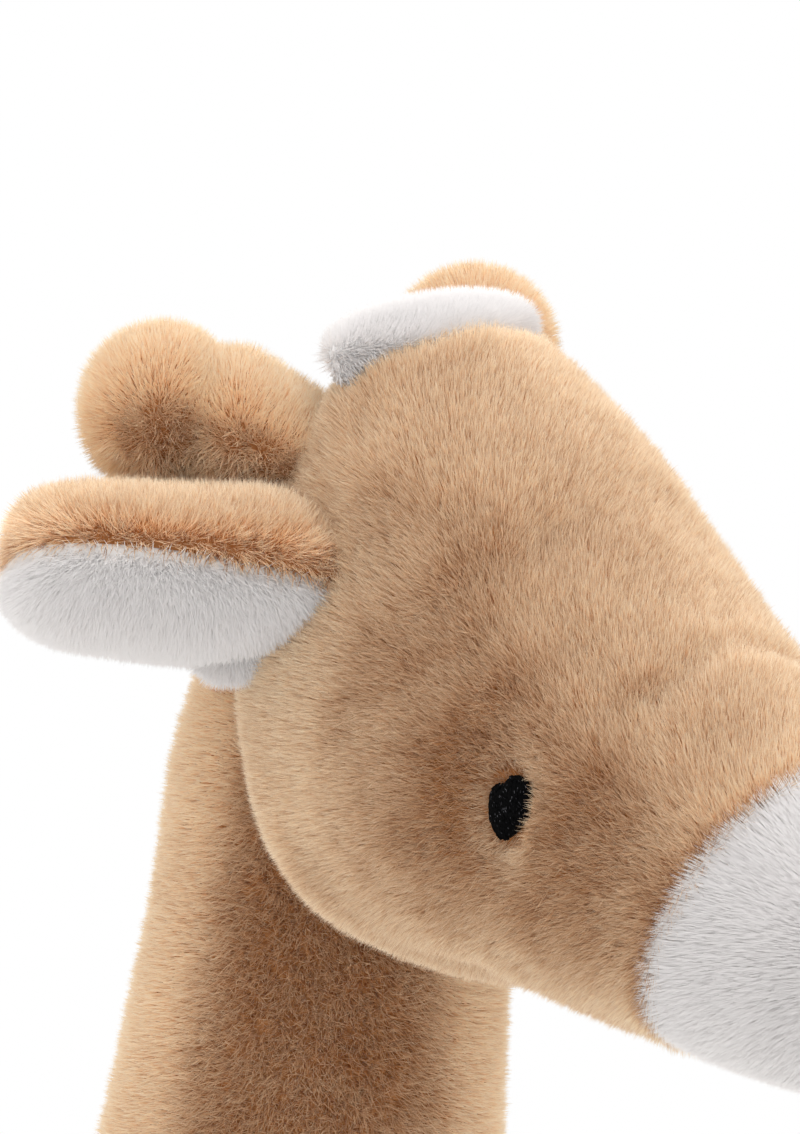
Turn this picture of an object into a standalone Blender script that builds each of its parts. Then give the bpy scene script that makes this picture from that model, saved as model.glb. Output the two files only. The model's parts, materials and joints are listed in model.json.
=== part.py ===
# Plush giraffe that stands on four legs and looks a little down.
# It faces -Y, its right side is at -X, +Z is up, and the floor is z = 0.
# Each stuffed form is a plush cover, sewn open where it joins its neighbour,
# round a body of fibre filling.

import math

import bpy
from mathutils import Matrix, Vector

for stale in list(bpy.data.objects):
    bpy.data.objects.remove(stale, do_unlink=True)

mm = 0.001

# Cloth, seams and clearances
cloth = 3.0 * mm                # plush cloth: knitted backing and the dense part of its pile
seam_gap = 0.3 * mm             # between two pieces that are sewn to each other
flex_gap = 0.9 * mm             # between two pieces that bend at a sewn joint

# Head, placed from the nod pivot at the top of the neck
pivot_height = 402.0 * mm
pivot_reach = 90.0 * mm         # forward of the middle of the trunk
head_length = 163.0 * mm
head_height = 93.0 * mm
head_width = 86.0 * mm
head_back = 19.0 * mm           # the crown's distance behind the pivot, along the head
head_pitch_degrees = 25.0
nod_degrees = 8.0

# Neck
neck_top_radius = 27.5 * mm
neck_base_radius = 41.5 * mm
neck_lean_degrees = 9.5
neck_length = 186.0 * mm        # pivot to the middle of its foot, inside the trunk

# Trunk
trunk_length = 210.0 * mm
trunk_width = 104.0 * mm
trunk_height = 112.0 * mm
trunk_centre_height = 206.0 * mm

# Legs
hip_height = 158.0 * mm
hip_spread = 27.0 * mm          # sideways from the middle plane
front_hip_reach = 70.0 * mm
rear_hip_reach = 62.0 * mm
leg_radius = 23.0 * mm
ankle_radius = 18.5 * mm
hoof_radius = 22.0 * mm
hoof_height = 34.0 * mm
leg_swing_degrees = 10.0

# Ossicones, the two blunt horns
ossicone_length = 44.0 * mm     # flex point to the end of the knob
ossicone_base_radius = 9.5 * mm
ossicone_knob_radius = 12.8 * mm
ossicone_flex_degrees = 14.0

# Ears
ear_length = 49.0 * mm          # flap axis to tip
ear_width = 45.0 * mm
ear_back_thickness = 12.5 * mm  # of its plump tan leaf
ear_lining_thickness = 8.5 * mm # of its flatter white leaf
ear_lift_degrees = 4.0         # up, until it is near the ossicone
ear_droop_degrees = 15.0

# Embroidered eyes
eye_height = 11.0 * mm
eye_width = 8.0 * mm
eye_thickness = 2.4 * mm        # half of it sunk in the plush
eye_rise_degrees = 13.3         # above the widest line of the head

# Mane, of longer pile: one puff on the crown and one strip down the neck
crest_width = 42.0 * mm
crest_height = 6.0 * mm
crest_depth = 12.0 * mm         # of its hollow side, which rides on the crown
mane_width = 13.0 * mm
mane_height = 5.0 * mm
mane_depth = 3.0 * mm

# Tail
tail_rise = 26.0 * mm           # its root above the middle of the trunk
tail_drop = 100.0 * mm          # its root to the end of its tuft
tail_radius = 4.5 * mm
tuft_length = 40.0 * mm
tuft_radius = 10.0 * mm
tail_swing_degrees = 40.0

# Care label, left blank
label_width = 18.0 * mm
label_drop = 34.0 * mm
label_thickness = 0.6 * mm

plush_tan = (0.62, 0.40, 0.22, 1.0)
plush_white = (0.86, 0.83, 0.80, 1.0)
thread_black = (0.012, 0.011, 0.010, 1.0)
fibre_white = (0.80, 0.79, 0.76, 1.0)
tape_white = (0.85, 0.84, 0.81, 1.0)


def material(name, colour, roughness):
    """A Principled material of one of the toy's cloths or threads."""
    made = bpy.data.materials.new(name)
    made.use_nodes = True
    shader = made.node_tree.nodes["Principled BSDF"]
    shader.inputs["Base Color"].default_value = colour
    shader.inputs["Roughness"].default_value = roughness
    shader.inputs["Metallic"].default_value = 0.0
    made.diffuse_color = colour
    return made


tan_plush = material("tan_plush", plush_tan, 0.95)
white_plush = material("white_plush", plush_white, 0.95)
black_thread = material("black_thread", thread_black, 0.55)
fibre_filling = material("fibre_filling", fibre_white, 1.0)
satin_tape = material("satin_tape", tape_white, 0.4)


def mesh_object(name, points, faces, finish):
    """A smooth-shaded object from points and faces."""
    mesh = bpy.data.meshes.new(name)
    mesh.from_pydata([tuple(point) for point in points], [], faces)
    mesh.update()
    mesh.shade_smooth()
    mesh.materials.append(finish)
    made = bpy.data.objects.new(name, mesh)
    bpy.context.scene.collection.objects.link(made)
    return made


def skin(rings, points, faces, inward):
    """Adds the faces over a list of rings, and gives each ring's point numbers."""
    numbers = []
    for ring in rings:
        numbers.append(list(range(len(points), len(points) + len(ring))))
        points.extend(ring)
    for first, second in zip(numbers, numbers[1:]):
        count = max(len(first), len(second))
        for step in range(count):
            after = (step + 1) % count
            if len(first) == 1:
                face = (first[0], second[after], second[step])
            elif len(second) == 1:
                face = (first[step], first[after], second[0])
            else:
                face = (first[step], first[after], second[after], second[step])
            faces.append(face[::-1] if inward else face)
    return numbers


class Form:
    """A stuffed form: a stack of ovals, each with its middle and its half sizes.

    An oval whose sizes are zero is a point, which closes that end. The ovals face along the
    spine through their middles, or all the same way where one direction is given.
    """

    def __init__(self, rows, side, sides, forward=None):
        self.rows = rows        # (middle, half width, half height up, half height down)
        self.side = side        # the direction of the half width
        self.sides = sides
        self.forward = forward

    def ring(self, index):
        """The points of one oval."""
        middle, wide, high, low = self.rows[index]
        if wide == 0:
            return [middle]
        before = self.rows[max(index - 1, 0)][0]
        after = self.rows[min(index + 1, len(self.rows) - 1)][0]
        up = (self.forward or after - before).cross(self.side).normalized()
        points = []
        for step in range(self.sides):
            turn = math.tau * step / self.sides
            across, rising = math.cos(turn), math.sin(turn)
            tall = high if rising > 0 else low
            points.append(middle + self.side * (wide * across) + up * (tall * rising))
        return points

    def rings(self, grow):
        """The ovals of the surface that lies grow outside the form, along its normals."""
        points, faces = [], []
        numbers = skin([self.ring(index) for index in range(len(self.rows))], points, faces, False)
        mesh = bpy.data.meshes.new("normals")
        mesh.from_pydata([tuple(point) for point in points], [], faces)
        normals = [Vector(found.vector) for found in mesh.vertex_normals]
        bpy.data.meshes.remove(mesh)
        return [[points[number] + normals[number] * grow for number in ring] for ring in numbers]


def solid(name, form, grow, finish, first=0, final=None):
    """A closed solid of the form's ovals from first up to final, grown by grow."""
    points, faces = [], []
    numbers = skin(form.rings(grow)[first:final], points, faces, False)
    if len(numbers[0]) > 1:
        faces.append(tuple(numbers[0][::-1]))
    if len(numbers[-1]) > 1:
        faces.append(tuple(numbers[-1]))
    return mesh_object(name, points, faces, finish)


def cover(name, form, finish, first=0, final=None):
    """A cloth cover over the form's ovals from first up to final, open at each end oval."""
    points, faces = [], []
    outside = skin(form.rings(0)[first:final], points, faces, False)
    inside = skin(form.rings(-cloth)[first:final], points, faces, True)
    for place in (0, -1):
        rim, lining = outside[place], inside[place]
        for step in range(len(rim) if len(rim) > 1 else 0):
            after = (step + 1) % len(rim)
            face = (rim[step], rim[after], lining[after], lining[step])
            faces.append(face[::-1] if place == 0 else face)
    return mesh_object(name, points, faces, finish)


def filling(name, form, first=0, final=None):
    """The fibre filling inside the cover of a form."""
    return solid(name, form, -cloth - seam_gap, fibre_filling, first, final)


def box(name, middle, size, finish):
    """A closed box of a size."""
    low, high = middle - size / 2, middle + size / 2
    points = [(x, y, z) for z in (low.z, high.z) for y in (low.y, high.y) for x in (low.x, high.x)]
    faces = [(0, 2, 3, 1), (4, 5, 7, 6), (0, 1, 5, 4), (2, 6, 7, 3), (0, 4, 6, 2), (1, 3, 7, 5)]
    return mesh_object(name, points, faces, finish)


def cut(made, cutter):
    """Cuts the cutter out of an object, keeps the result as its mesh, and removes the cutter."""
    cutter.hide_render = True
    cutter.display_type = "WIRE"
    modifier = made.modifiers.new("cut", "BOOLEAN")
    modifier.operation = "DIFFERENCE"
    modifier.solver = "EXACT"
    modifier.object = cutter
    graph = bpy.context.evaluated_depsgraph_get()
    result = bpy.data.meshes.new_from_object(made.evaluated_get(graph))
    made.modifiers.clear()
    made.data = result
    bpy.data.objects.remove(cutter, do_unlink=True)


def cut_form(made, form, grow):
    """Cuts a form, grown by grow, out of an object."""
    cut(made, solid("room", form, grow, fibre_filling))


class Joint:
    """A sewn joint that bends about an axis through a point, between two angles."""

    def __init__(self, name, place, axis, low, high):
        self.name = name
        self.place = place
        self.axis = axis
        self.low = low
        self.high = high

    def room(self, form, away):
        """The room in which a form that points away from the joint bends, as a form.

        The form's side is the axis. Behind the axis the room is as round as the form's base.
        Ahead of it a ring sweeps a longer oval, and takes in the next ring out, which comes
        nearer as it swings.
        """
        arms = [(row[0] - self.place).dot(away) for row in form.rows]
        rows = []
        for index, (middle, wide, high, low) in enumerate(form.rows):
            arm = arms[index]
            if arm <= 0:
                high = low = max(high, low)
            else:
                reached = [form.rows[index]]
                for beside in {max(index - 1, 0), min(index + 1, len(arms) - 1)}:
                    if arms[beside] > arm:
                        reached.append(form.rows[beside])
                wide, high, low = [max(sizes) for sizes in list(zip(*reached))[1:]]
                up_turn, down_turn = math.radians(-self.low), math.radians(self.high)
                high = (high + arm * math.sin(up_turn)) / math.cos(up_turn)
                low = (low + arm * math.sin(down_turn)) / math.cos(down_turn)
            rows.append((middle, wide, high, low))
        return Form(rows, form.side, form.sides, form.forward)

    def carry(self, pieces, parent):
        """Hangs the pieces on an empty at the joint, and the empty on its parent."""
        holder = bpy.data.objects.new(self.name, None)
        bpy.context.scene.collection.objects.link(holder)
        holder.parent = parent
        holder.location = self.place
        if parent:
            holder.matrix_parent_inverse = Matrix.Translation(-parent.location)
        for piece in pieces:
            piece.parent = holder
            piece.matrix_parent_inverse = Matrix.Translation(-self.place)
        return holder


def dome_rows(centre, direction, radius, steps):
    """The ovals of a half ball, from just past its rim to its pole along the direction."""
    rows = []
    for step in range(1, steps + 1):
        rise = math.radians(90 * step / steps)
        size = radius * math.cos(rise) if step < steps else 0
        rows.append((centre + direction * (radius * math.sin(rise)), size, size, size))
    return rows


def tapered(first, last, share):
    """A size that is a share of the way from the first to the last."""
    return first + (last - first) * share


left = Vector((1, 0, 0))
ahead = Vector((0, -1, 0))
upward = Vector((0, 0, 1))
pivot = ahead * pivot_reach + upward * pivot_height

pitch = math.radians(head_pitch_degrees)
head_ahead = ahead * math.cos(pitch) - upward * math.sin(pitch)
head_up = ahead * math.sin(pitch) + upward * math.cos(pitch)

lean = math.radians(neck_lean_degrees)
neck_up = ahead * math.sin(lean) + upward * math.cos(lean)
neck_back = upward * math.sin(lean) - ahead * math.cos(lean)

# Head: each oval's place along the head from the crown and its rise above the pivot, then
# its half width and half height, as shares of the head's length, height and width.
head_shares = (
    (0.000, 0.630, 0.000, 0.000),
    (0.018, 0.610, 0.150, 0.140),
    (0.043, 0.550, 0.240, 0.235),
    (0.086, 0.450, 0.350, 0.375),
    (0.147, 0.370, 0.408, 0.445),
    (0.209, 0.327, 0.435, 0.473),
    (0.288, 0.298, 0.452, 0.477),
    (0.368, 0.287, 0.450, 0.453),
    (0.448, 0.302, 0.426, 0.418),
    (0.512, 0.327, 0.398, 0.388),
    (0.640, 0.363, 0.345, 0.332),
    (0.730, 0.392, 0.315, 0.298),
    (0.835, 0.426, 0.270, 0.254),
    (0.915, 0.454, 0.205, 0.196),
    (0.970, 0.468, 0.125, 0.122),
    (1.000, 0.472, 0.000, 0.000),
)
crown_row = 3               # the highest oval of the crown
eye_row = 9                 # the oval that carries the eyes
muzzle_row = 11             # the oval where the white muzzle is sewn on
head_sides = 20


def in_head(along, rise):
    """A place in the middle plane: along the head from the crown, and above the pivot."""
    return pivot + head_ahead * (along - head_back) + head_up * rise


head_rows = []
for along, rise, wide, high in head_shares:
    middle = in_head(head_length * along, head_height * rise)
    head_rows.append((middle, head_width * wide, head_height * high, head_height * high))
seam_middle, *seam_sizes = head_rows[muzzle_row]
head_rows.insert(muzzle_row + 1, (seam_middle + head_ahead * seam_gap, *seam_sizes))
head_form = Form(head_rows, left, head_sides, head_ahead)

# Neck: each ring's place from the foot to the pivot, and how much of its taper it has had.
neck_shares = (
    (0.00, 0.00),
    (0.22, 0.15),
    (0.44, 0.37),
    (0.64, 0.62),
    (0.78, 0.79),
    (0.90, 0.92),
    (1.00, 1.00),
)
neck_sides = 18
neck_foot = pivot - neck_up * neck_length
neck_rows = []
for along, taper in neck_shares:
    radius = tapered(neck_base_radius, neck_top_radius, taper)
    neck_rows.append((neck_foot + neck_up * (neck_length * along), radius, radius, radius))
neck_rows += dome_rows(pivot, neck_up, neck_top_radius, 4)
neck_form = Form(neck_rows, left, neck_sides)
foot, *foot_sizes = neck_rows[0]
neck_socket = Form([(foot - neck_up * (2 * seam_gap), *foot_sizes)] + neck_rows, left, neck_sides)

# Trunk: each oval's place from the rump to the chest, half width and half height, as shares.
trunk_shares = (
    (-0.500, 0.00, 0.00),
    (-0.475, 0.21, 0.21),
    (-0.410, 0.36, 0.37),
    (-0.290, 0.46, 0.465),
    (-0.120, 0.50, 0.50),
    (0.060, 0.50, 0.50),
    (0.200, 0.49, 0.495),
    (0.310, 0.46, 0.47),
    (0.410, 0.37, 0.38),
    (0.475, 0.22, 0.23),
    (0.500, 0.00, 0.00),
)
trunk_sides = 18
trunk_middle = upward * trunk_centre_height
trunk_rows = []
for along, wide, high in trunk_shares:
    middle = trunk_middle + ahead * (trunk_length * along)
    trunk_rows.append((middle, trunk_width * wide, trunk_height * high, trunk_height * high))
trunk_form = Form(trunk_rows, left, trunk_sides)

# Leg: each ring's place from the hip down to the hoof, and how much of its taper it has had,
# then each ring's height in the hoof, and its size.
leg_shares = ((0.00, 0.00), (0.30, 0.25), (0.62, 0.70), (0.86, 1.00), (1.00, 1.00))
hoof_shares = ((0.70, 1.00), (0.40, 1.00), (0.12, 0.92), (0.00, 0.78), (0.00, 0.00))
leg_sides = 16
leg_dome_steps = 4
hoof_row = leg_dome_steps + len(leg_shares)     # the first ring of the white hoof


def leg_form(hip):
    """A stuffed leg from its ball top, at the hip, down to its flat sole."""
    rows = dome_rows(hip, upward, leg_radius, leg_dome_steps)[::-1]
    run = hip_height - hoof_height
    for along, taper in leg_shares:
        radius = tapered(leg_radius, ankle_radius, taper)
        rows.append((hip - upward * (run * along), radius, radius, radius))
    ankle, *ankle_sizes = rows[-1]
    rows.append((ankle - upward * seam_gap, *ankle_sizes))
    for along, wide in hoof_shares:
        radius = hoof_radius * wide
        middle = hip - upward * (hip_height - hoof_height * along)
        rows.append((middle, radius, radius, radius))
    return Form(rows, left, leg_sides)


# Where the ossicones and ears are sewn in, as shares of the head's half width, length and
# height, and the directions they point in, as shares sideways, along the head and up. Each
# ear has its direction and that of its leading edge: the left one hangs further back.
ossicone_place_shares = (0.34, 0.057, 0.60)
ossicone_direction_shares = (0.66, -0.73, -0.155)
ear_place_shares = (0.68, 0.164, 0.407)
ear_side_shares = {
    "right": ((0.76, -0.626, -0.171), (0.536, 0.48, 0.69)),
    "left": ((0.50, -0.80, -0.33), (0.70, 0.46, 0.30)),
}


def head_place(out, shares):
    """A place in the head from its shares outward, along the head and up."""
    across, along, rise = shares
    return in_head(head_length * along, head_height * rise) + out * (head_width / 2 * across)


def head_direction(out, shares):
    """A direction from its shares outward, along the head and up."""
    across, along, rise = shares
    return (out * across + head_ahead * along + head_up * rise).normalized()


# Ossicone: each ring's place from the flex point to the end of the knob, and its radius as a
# share of the way from the base radius to the knob radius. The knob is part of a ball.
stalk_shares = ((0.00, 0.00), (0.24, 0.02), (0.40, 0.25))
knob_degrees = (60, 90, 122, 152)
ossicone_sides = 12


def ossicone_form(base, direction, side):
    """A blunt horn: a stalk with a round base, and a ball knob."""
    rows = dome_rows(base, -direction, ossicone_base_radius, 3)[::-1]
    for along, swell in stalk_shares:
        radius = tapered(ossicone_base_radius, ossicone_knob_radius, swell)
        rows.append((base + direction * (ossicone_length * along), radius, radius, radius))
    knob = base + direction * (ossicone_length - ossicone_knob_radius)
    for degrees in knob_degrees:
        turn = math.radians(degrees)
        radius = ossicone_knob_radius * math.sin(turn)
        rows.append((knob - direction * (ossicone_knob_radius * math.cos(turn)), radius, radius, radius))
    rows.append((base + direction * ossicone_length, 0, 0, 0))
    return Form(rows, side, ossicone_sides)


# Ear: each section's place from the flap axis to the tip, its half width and the thickness
# of a leaf, as shares. Behind the axis the base is round, so that it turns in its seam.
ear_shares = (
    (0.00, 0.30, 0.60),
    (0.16, 0.39, 0.85),
    (0.40, 0.48, 1.03),
    (0.62, 0.50, 1.00),
    (0.80, 0.41, 0.85),
    (0.93, 0.24, 0.60),
    (1.00, 0.00, 0.00),
)
ear_base_degrees = (70, 40)
ear_sides = 12


def ear_form(base, direction, across, back, lining):
    """An ear whose two padded leaves have these thicknesses. One leaf alone has a zero."""
    rows = []
    _, base_wide, base_thick = ear_shares[0]
    for degrees in ear_base_degrees:
        turn = math.radians(degrees)
        behind = base - direction * (max(back, lining) * base_thick * math.sin(turn))
        wide, thick = base_wide * math.cos(turn), base_thick * math.cos(turn)
        rows.append((behind, ear_width * wide, back * thick, lining * thick))
    for along, wide, thick in ear_shares:
        middle = base + direction * (ear_length * along)
        rows.append((middle, ear_width * wide, back * thick, lining * thick))
    return Form(rows, across, ear_sides, direction)


# Eye: each section's place through the thickness, and its size.
eye_shares = ((-0.50, 0.00), (-0.42, 0.60), (0.00, 1.00), (0.42, 0.60), (0.50, 0.00))
eye_sides = 14


def eye_form(out):
    """A flat oval lens of stitches, half sunk in the side of the head."""
    middle, wide, high, _ = head_rows[eye_row]
    behind, in_front = head_rows[eye_row - 1], head_rows[eye_row + 1]
    taper = (behind[1] - in_front[1]) / (in_front[0] - behind[0]).dot(head_ahead)
    turn = math.radians(eye_rise_degrees)
    place = middle + out * (wide * math.cos(turn)) + head_up * (high * math.sin(turn))
    facing = (out * math.cos(turn) + head_up * math.sin(turn) + head_ahead * taper).normalized()
    upright = (upward - facing * upward.dot(facing)).normalized()
    rows = []
    for along, size in eye_shares:
        half_width, half_height = eye_width / 2 * size, eye_height / 2 * size
        rows.append((place + facing * (eye_thickness * along), half_width, half_height, half_height))
    return Form(rows, upright.cross(facing), eye_sides, facing)


# Mane: the width and height of the puff and of the strip, along each.
crest_shares = ((0.00, 0.00), (0.72, 0.75), (1.00, 1.00), (0.70, 0.90), (0.00, 0.00))
mane_end_shares = ((0.00, 0.00), (0.65, 0.70))
mane_foot_shares = ((0.85, 0.70),)
mane_top_degrees = (58, 40, 20)     # round the dome of the neck, from its back
mane_sides = 12


def strip_form(path, shares, width, height, depth):
    """A strip of long pile along a path, partly sunk in the form that the path lies on."""
    rows = []
    for place, (wide, high) in zip(path, shares):
        rows.append((place, width / 2 * wide, height * high, depth * high))
    return Form(rows, -left, mane_sides)


def crest_form():
    """The puff of mane over the back of the crown, between the ossicones."""
    crown = [middle + head_up * high for middle, _, high, _ in head_rows[crown_row + 1::-1]]
    crown[0] = (crown[0] + crown[1]) / 2
    return strip_form(crown, crest_shares, crest_width, crest_height, crest_depth)


def mane_form():
    """The strip of mane from the dome of the neck down its back."""
    path = []
    for degrees in mane_top_degrees:
        turn = math.radians(degrees)
        path.append(pivot + (neck_back * math.cos(turn) + neck_up * math.sin(turn)) * neck_top_radius)
    for middle, radius, _, _ in neck_rows[len(neck_shares) - 1:0:-1]:
        path.append(middle + neck_back * radius)
    full = len(path) - len(mane_end_shares) - len(mane_foot_shares)
    shares = mane_end_shares + ((1.00, 1.00),) * full + mane_foot_shares
    return strip_form(path, shares, mane_width, mane_height, mane_depth)


# Tail: each ring's place backward from the rump and downward, as shares of the distance that
# the tail keeps from its root, then the tuft's rings along its length and their sizes.
tail_root_share = 0.46      # of the trunk's length, behind its middle
tail_bend_shares = ((0.00, 0.00), (0.45, 0.03), (0.85, 0.25), (1.00, 0.75), (1.00, 1.50))
tuft_shares = ((0.12, 0.75), (0.38, 1.00), (0.70, 0.85), (0.90, 0.50), (1.00, 0.00))
tail_sides = 10
tail_dome_steps = 3
tail_bend_rows = 3          # the rings of the bend that run backward
tuft_row = tail_dome_steps + len(tail_bend_shares) + 1      # the first ring of the white tuft

tail_root = trunk_middle + upward * tail_rise - ahead * (trunk_length * tail_root_share)
tail_reach = trunk_length * (0.5 - tail_root_share) + tail_radius + flex_gap


def tail_form():
    """A tail that leaves the rump backward, hangs down and ends in a tuft."""
    rows = dome_rows(tail_root, ahead, tail_radius, tail_dome_steps)[::-1]
    for back, down in tail_bend_shares:
        middle = tail_root - ahead * (tail_reach * back) - upward * (tail_reach * down)
        rows.append((middle, tail_radius, tail_radius, tail_radius))
    line = tail_root - ahead * tail_reach
    for place in (0, seam_gap):
        middle = line - upward * (tail_drop - tuft_length + place)
        rows.append((middle, tail_radius, tail_radius, tail_radius))
    for along, wide in tuft_shares:
        middle = line - upward * (tail_drop - tuft_length * (1 - along))
        rows.append((middle, tuft_radius * wide, tuft_radius * wide, tuft_radius * wide))
    return Form(rows, left, tail_sides)


stand = Joint("trunk", trunk_middle, left, 0, 0)
nod = Joint("head", pivot, left, -nod_degrees, nod_degrees)

# Trunk and neck
trunk_cover = cover("trunk_cover", trunk_form, tan_plush)
trunk_filling = filling("trunk_filling", trunk_form)
neck_cover = cover("neck_cover", neck_form, tan_plush)
neck_filling = filling("neck_filling", neck_form)
for piece in (trunk_cover, trunk_filling):
    cut_form(piece, neck_socket, seam_gap)

mane_neck = solid("mane_neck", mane_form(), 0, white_plush)
for form in (neck_form, trunk_form):
    cut_form(mane_neck, form, seam_gap)

label_middle = trunk_middle + left * (trunk_width / 2 - cloth / 2) - upward * (label_drop / 2)
label_size = Vector((label_thickness, label_width, label_drop))
care_label = box("care_label", label_middle, label_size, satin_tape)
label_room = label_size + Vector((1, 1, 1)) * (2 * seam_gap)
cut(trunk_cover, box("room", label_middle, label_room, satin_tape))

root_pieces = [trunk_cover, trunk_filling, neck_cover, neck_filling, mane_neck, care_label]
root = stand.carry(root_pieces, None)

# Head
head_cover = cover("head_cover", head_form, tan_plush, 0, muzzle_row + 1)
muzzle_cover = cover("muzzle_cover", head_form, white_plush, muzzle_row + 1)
head_filling = filling("head_filling", head_form)
mane_crown = solid("mane_crown", crest_form(), 0, white_plush)
cut_form(mane_crown, head_form, seam_gap)
neck_room = nod.room(neck_form, -neck_up)
for piece in (head_cover, head_filling):
    cut_form(piece, neck_room, flex_gap)
head_pieces = [head_cover, muzzle_cover, head_filling, mane_crown]

joints = [nod]
head_joints = []
for side_name, sense in (("right", -1), ("left", 1)):
    out = left * sense

    eye = eye_form(out)
    head_pieces.append(solid("eye_" + side_name, eye, 0, black_thread))
    cut_form(head_cover, eye, seam_gap)

    base = head_place(out, ossicone_place_shares)
    direction = head_direction(out, ossicone_direction_shares)
    flex_axis = (upward - direction * upward.dot(direction)).normalized()
    flex = Joint("ossicone_" + side_name, base, flex_axis, -ossicone_flex_degrees, ossicone_flex_degrees)
    ossicone = ossicone_form(base, direction, flex_axis)
    ossicone_room = flex.room(ossicone, direction)
    for piece in (head_cover, head_filling, mane_crown):
        cut_form(piece, ossicone_room, flex_gap)
    ossicone_cover = cover("ossicone_cover_" + side_name, ossicone, tan_plush, 1)
    ossicone_filling = filling("ossicone_filling_" + side_name, ossicone)
    head_joints.append((flex, [ossicone_cover, ossicone_filling]))

    base = head_place(out, ear_place_shares)
    ear_direction, ear_edge = ear_side_shares[side_name]
    direction = head_direction(out, ear_direction)
    edge = head_direction(out, ear_edge) * -sense
    across = (edge - direction * edge.dot(direction)).normalized()
    back = direction.cross(across)
    flap = Joint("ear_" + side_name, base, across, -ear_lift_degrees, ear_droop_degrees)
    ear_room = flap.room(ear_form(base, direction, across, ear_back_thickness, ear_lining_thickness), direction)
    for piece in (head_cover, head_filling):
        cut_form(piece, ear_room, flex_gap)
    leaf = back * (seam_gap / 2)
    back_leaf = ear_form(base + leaf, direction, across, ear_back_thickness, 0)
    lining_leaf = ear_form(base - leaf, direction, across, 0, ear_lining_thickness)
    ear_back = solid("ear_back_" + side_name, back_leaf, 0, tan_plush)
    ear_lining = solid("ear_lining_" + side_name, lining_leaf, 0, white_plush)
    head_joints.append((flap, [ear_back, ear_lining]))

head = nod.carry(head_pieces, root)
for joint, pieces in head_joints:
    joint.carry(pieces, head)
    joints.append(joint)

# Legs
for end_name, reach in (("front", front_hip_reach), ("rear", -rear_hip_reach)):
    for side_name, sense in (("right", -1), ("left", 1)):
        name = end_name + "_" + side_name
        hip = ahead * reach + left * (hip_spread * sense) + upward * hip_height
        swing = Joint("leg_" + name, hip, left, -leg_swing_degrees, leg_swing_degrees)
        leg = leg_form(hip)
        leg_room = swing.room(leg, -upward)
        for piece in (trunk_cover, trunk_filling):
            cut_form(piece, leg_room, flex_gap)
        leg_cover = cover("leg_cover_" + name, leg, tan_plush, 0, hoof_row)
        hoof_cover = cover("hoof_cover_" + name, leg, white_plush, hoof_row)
        leg_filling = filling("leg_filling_" + name, leg)
        swing.carry([leg_cover, hoof_cover, leg_filling], root)
        joints.append(swing)

# Tail
tail = tail_form()
wag = Joint("tail", tail_root, left, 0, tail_swing_degrees)
tail_stub = Form(tail.rows[:tail_dome_steps + tail_bend_rows], left, tail_sides)
tail_room = wag.room(tail_stub, -ahead)
for piece in (trunk_cover, trunk_filling):
    cut_form(piece, tail_room, flex_gap)
tail_cord = solid("tail_cord", tail, 0, tan_plush, 0, tuft_row)
tail_tuft = solid("tail_tuft", tail, 0, white_plush, tuft_row)
wag.carry([tail_cord, tail_tuft], root)
joints.append(wag)

# The toy stands with the middle of its box over the origin.
pieces = [made for made in bpy.data.objects if made.type == "MESH"]
reaches = [point.co.y for made in pieces for point in made.data.vertices]
shift = ahead * ((min(reaches) + max(reaches)) / 2)
root.location += shift
for joint in joints:
    place = joint.place + shift
    print(joint.name, [round(value, 5) for value in place], [round(value, 5) for value in joint.axis])
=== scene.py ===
import json
import math

import bpy
import numpy as np
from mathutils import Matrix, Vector
from mathutils.bvhtree import BVHTree

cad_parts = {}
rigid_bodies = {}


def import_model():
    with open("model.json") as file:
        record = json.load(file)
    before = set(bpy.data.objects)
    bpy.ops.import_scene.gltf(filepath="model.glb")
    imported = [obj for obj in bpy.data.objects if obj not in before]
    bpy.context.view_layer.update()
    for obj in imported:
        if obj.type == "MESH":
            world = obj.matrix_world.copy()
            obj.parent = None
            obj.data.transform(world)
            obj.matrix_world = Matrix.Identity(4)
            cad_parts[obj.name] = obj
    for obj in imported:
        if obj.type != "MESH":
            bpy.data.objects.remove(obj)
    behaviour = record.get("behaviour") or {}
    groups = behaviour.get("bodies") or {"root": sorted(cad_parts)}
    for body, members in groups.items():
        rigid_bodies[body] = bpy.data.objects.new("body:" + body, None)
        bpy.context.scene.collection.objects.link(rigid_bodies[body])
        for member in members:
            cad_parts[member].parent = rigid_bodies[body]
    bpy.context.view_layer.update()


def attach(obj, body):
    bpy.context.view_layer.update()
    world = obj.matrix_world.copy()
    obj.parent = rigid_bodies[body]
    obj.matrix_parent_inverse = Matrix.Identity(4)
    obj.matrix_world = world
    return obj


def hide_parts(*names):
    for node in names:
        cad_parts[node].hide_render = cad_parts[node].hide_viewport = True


for spare in list(bpy.data.objects):
    bpy.data.objects.remove(spare, do_unlink=True)
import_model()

mm = 0.001
left = np.array((1.0, 0.0, 0.0))
ahead = np.array((0.0, -1.0, 0.0))
upward = np.array((0.0, 0.0, 1.0))
lipShare = 0.25             # how far the lip of a cut skin reaches towards its middle
floorGap = 0.3 * mm         # the lowest that pile and feet may lie


# small helpers for shapes

def unit(vectors):
    return vectors / np.maximum(np.linalg.norm(vectors, axis=-1, keepdims=True), 1e-12)


def smoothStep(values, low, high):
    share = np.clip((values - low) / (high - low), 0, 1)
    return share * share * (3 - 2 * share)


def ripple(points, size, seed):
    # smooth noise from -1 to 1, made of a few crossing waves
    rng = np.random.default_rng(seed)
    total = np.zeros(len(points))
    for octave in range(6):
        direction = unit(rng.normal(size=3))
        pace = math.tau / size * rng.uniform(0.6, 1.6)
        total += np.sin(points @ direction * pace + rng.uniform(0, math.tau))
    return total / 6


def domeRows(centre, direction, radius, steps):
    rows = []
    for step in range(1, steps + 1):
        rise = math.radians(90 * step / steps)
        size = radius * math.cos(rise) if step < steps else 0
        rows.append((centre + direction * (radius * math.sin(rise)), size, size, size))
    return rows


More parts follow.
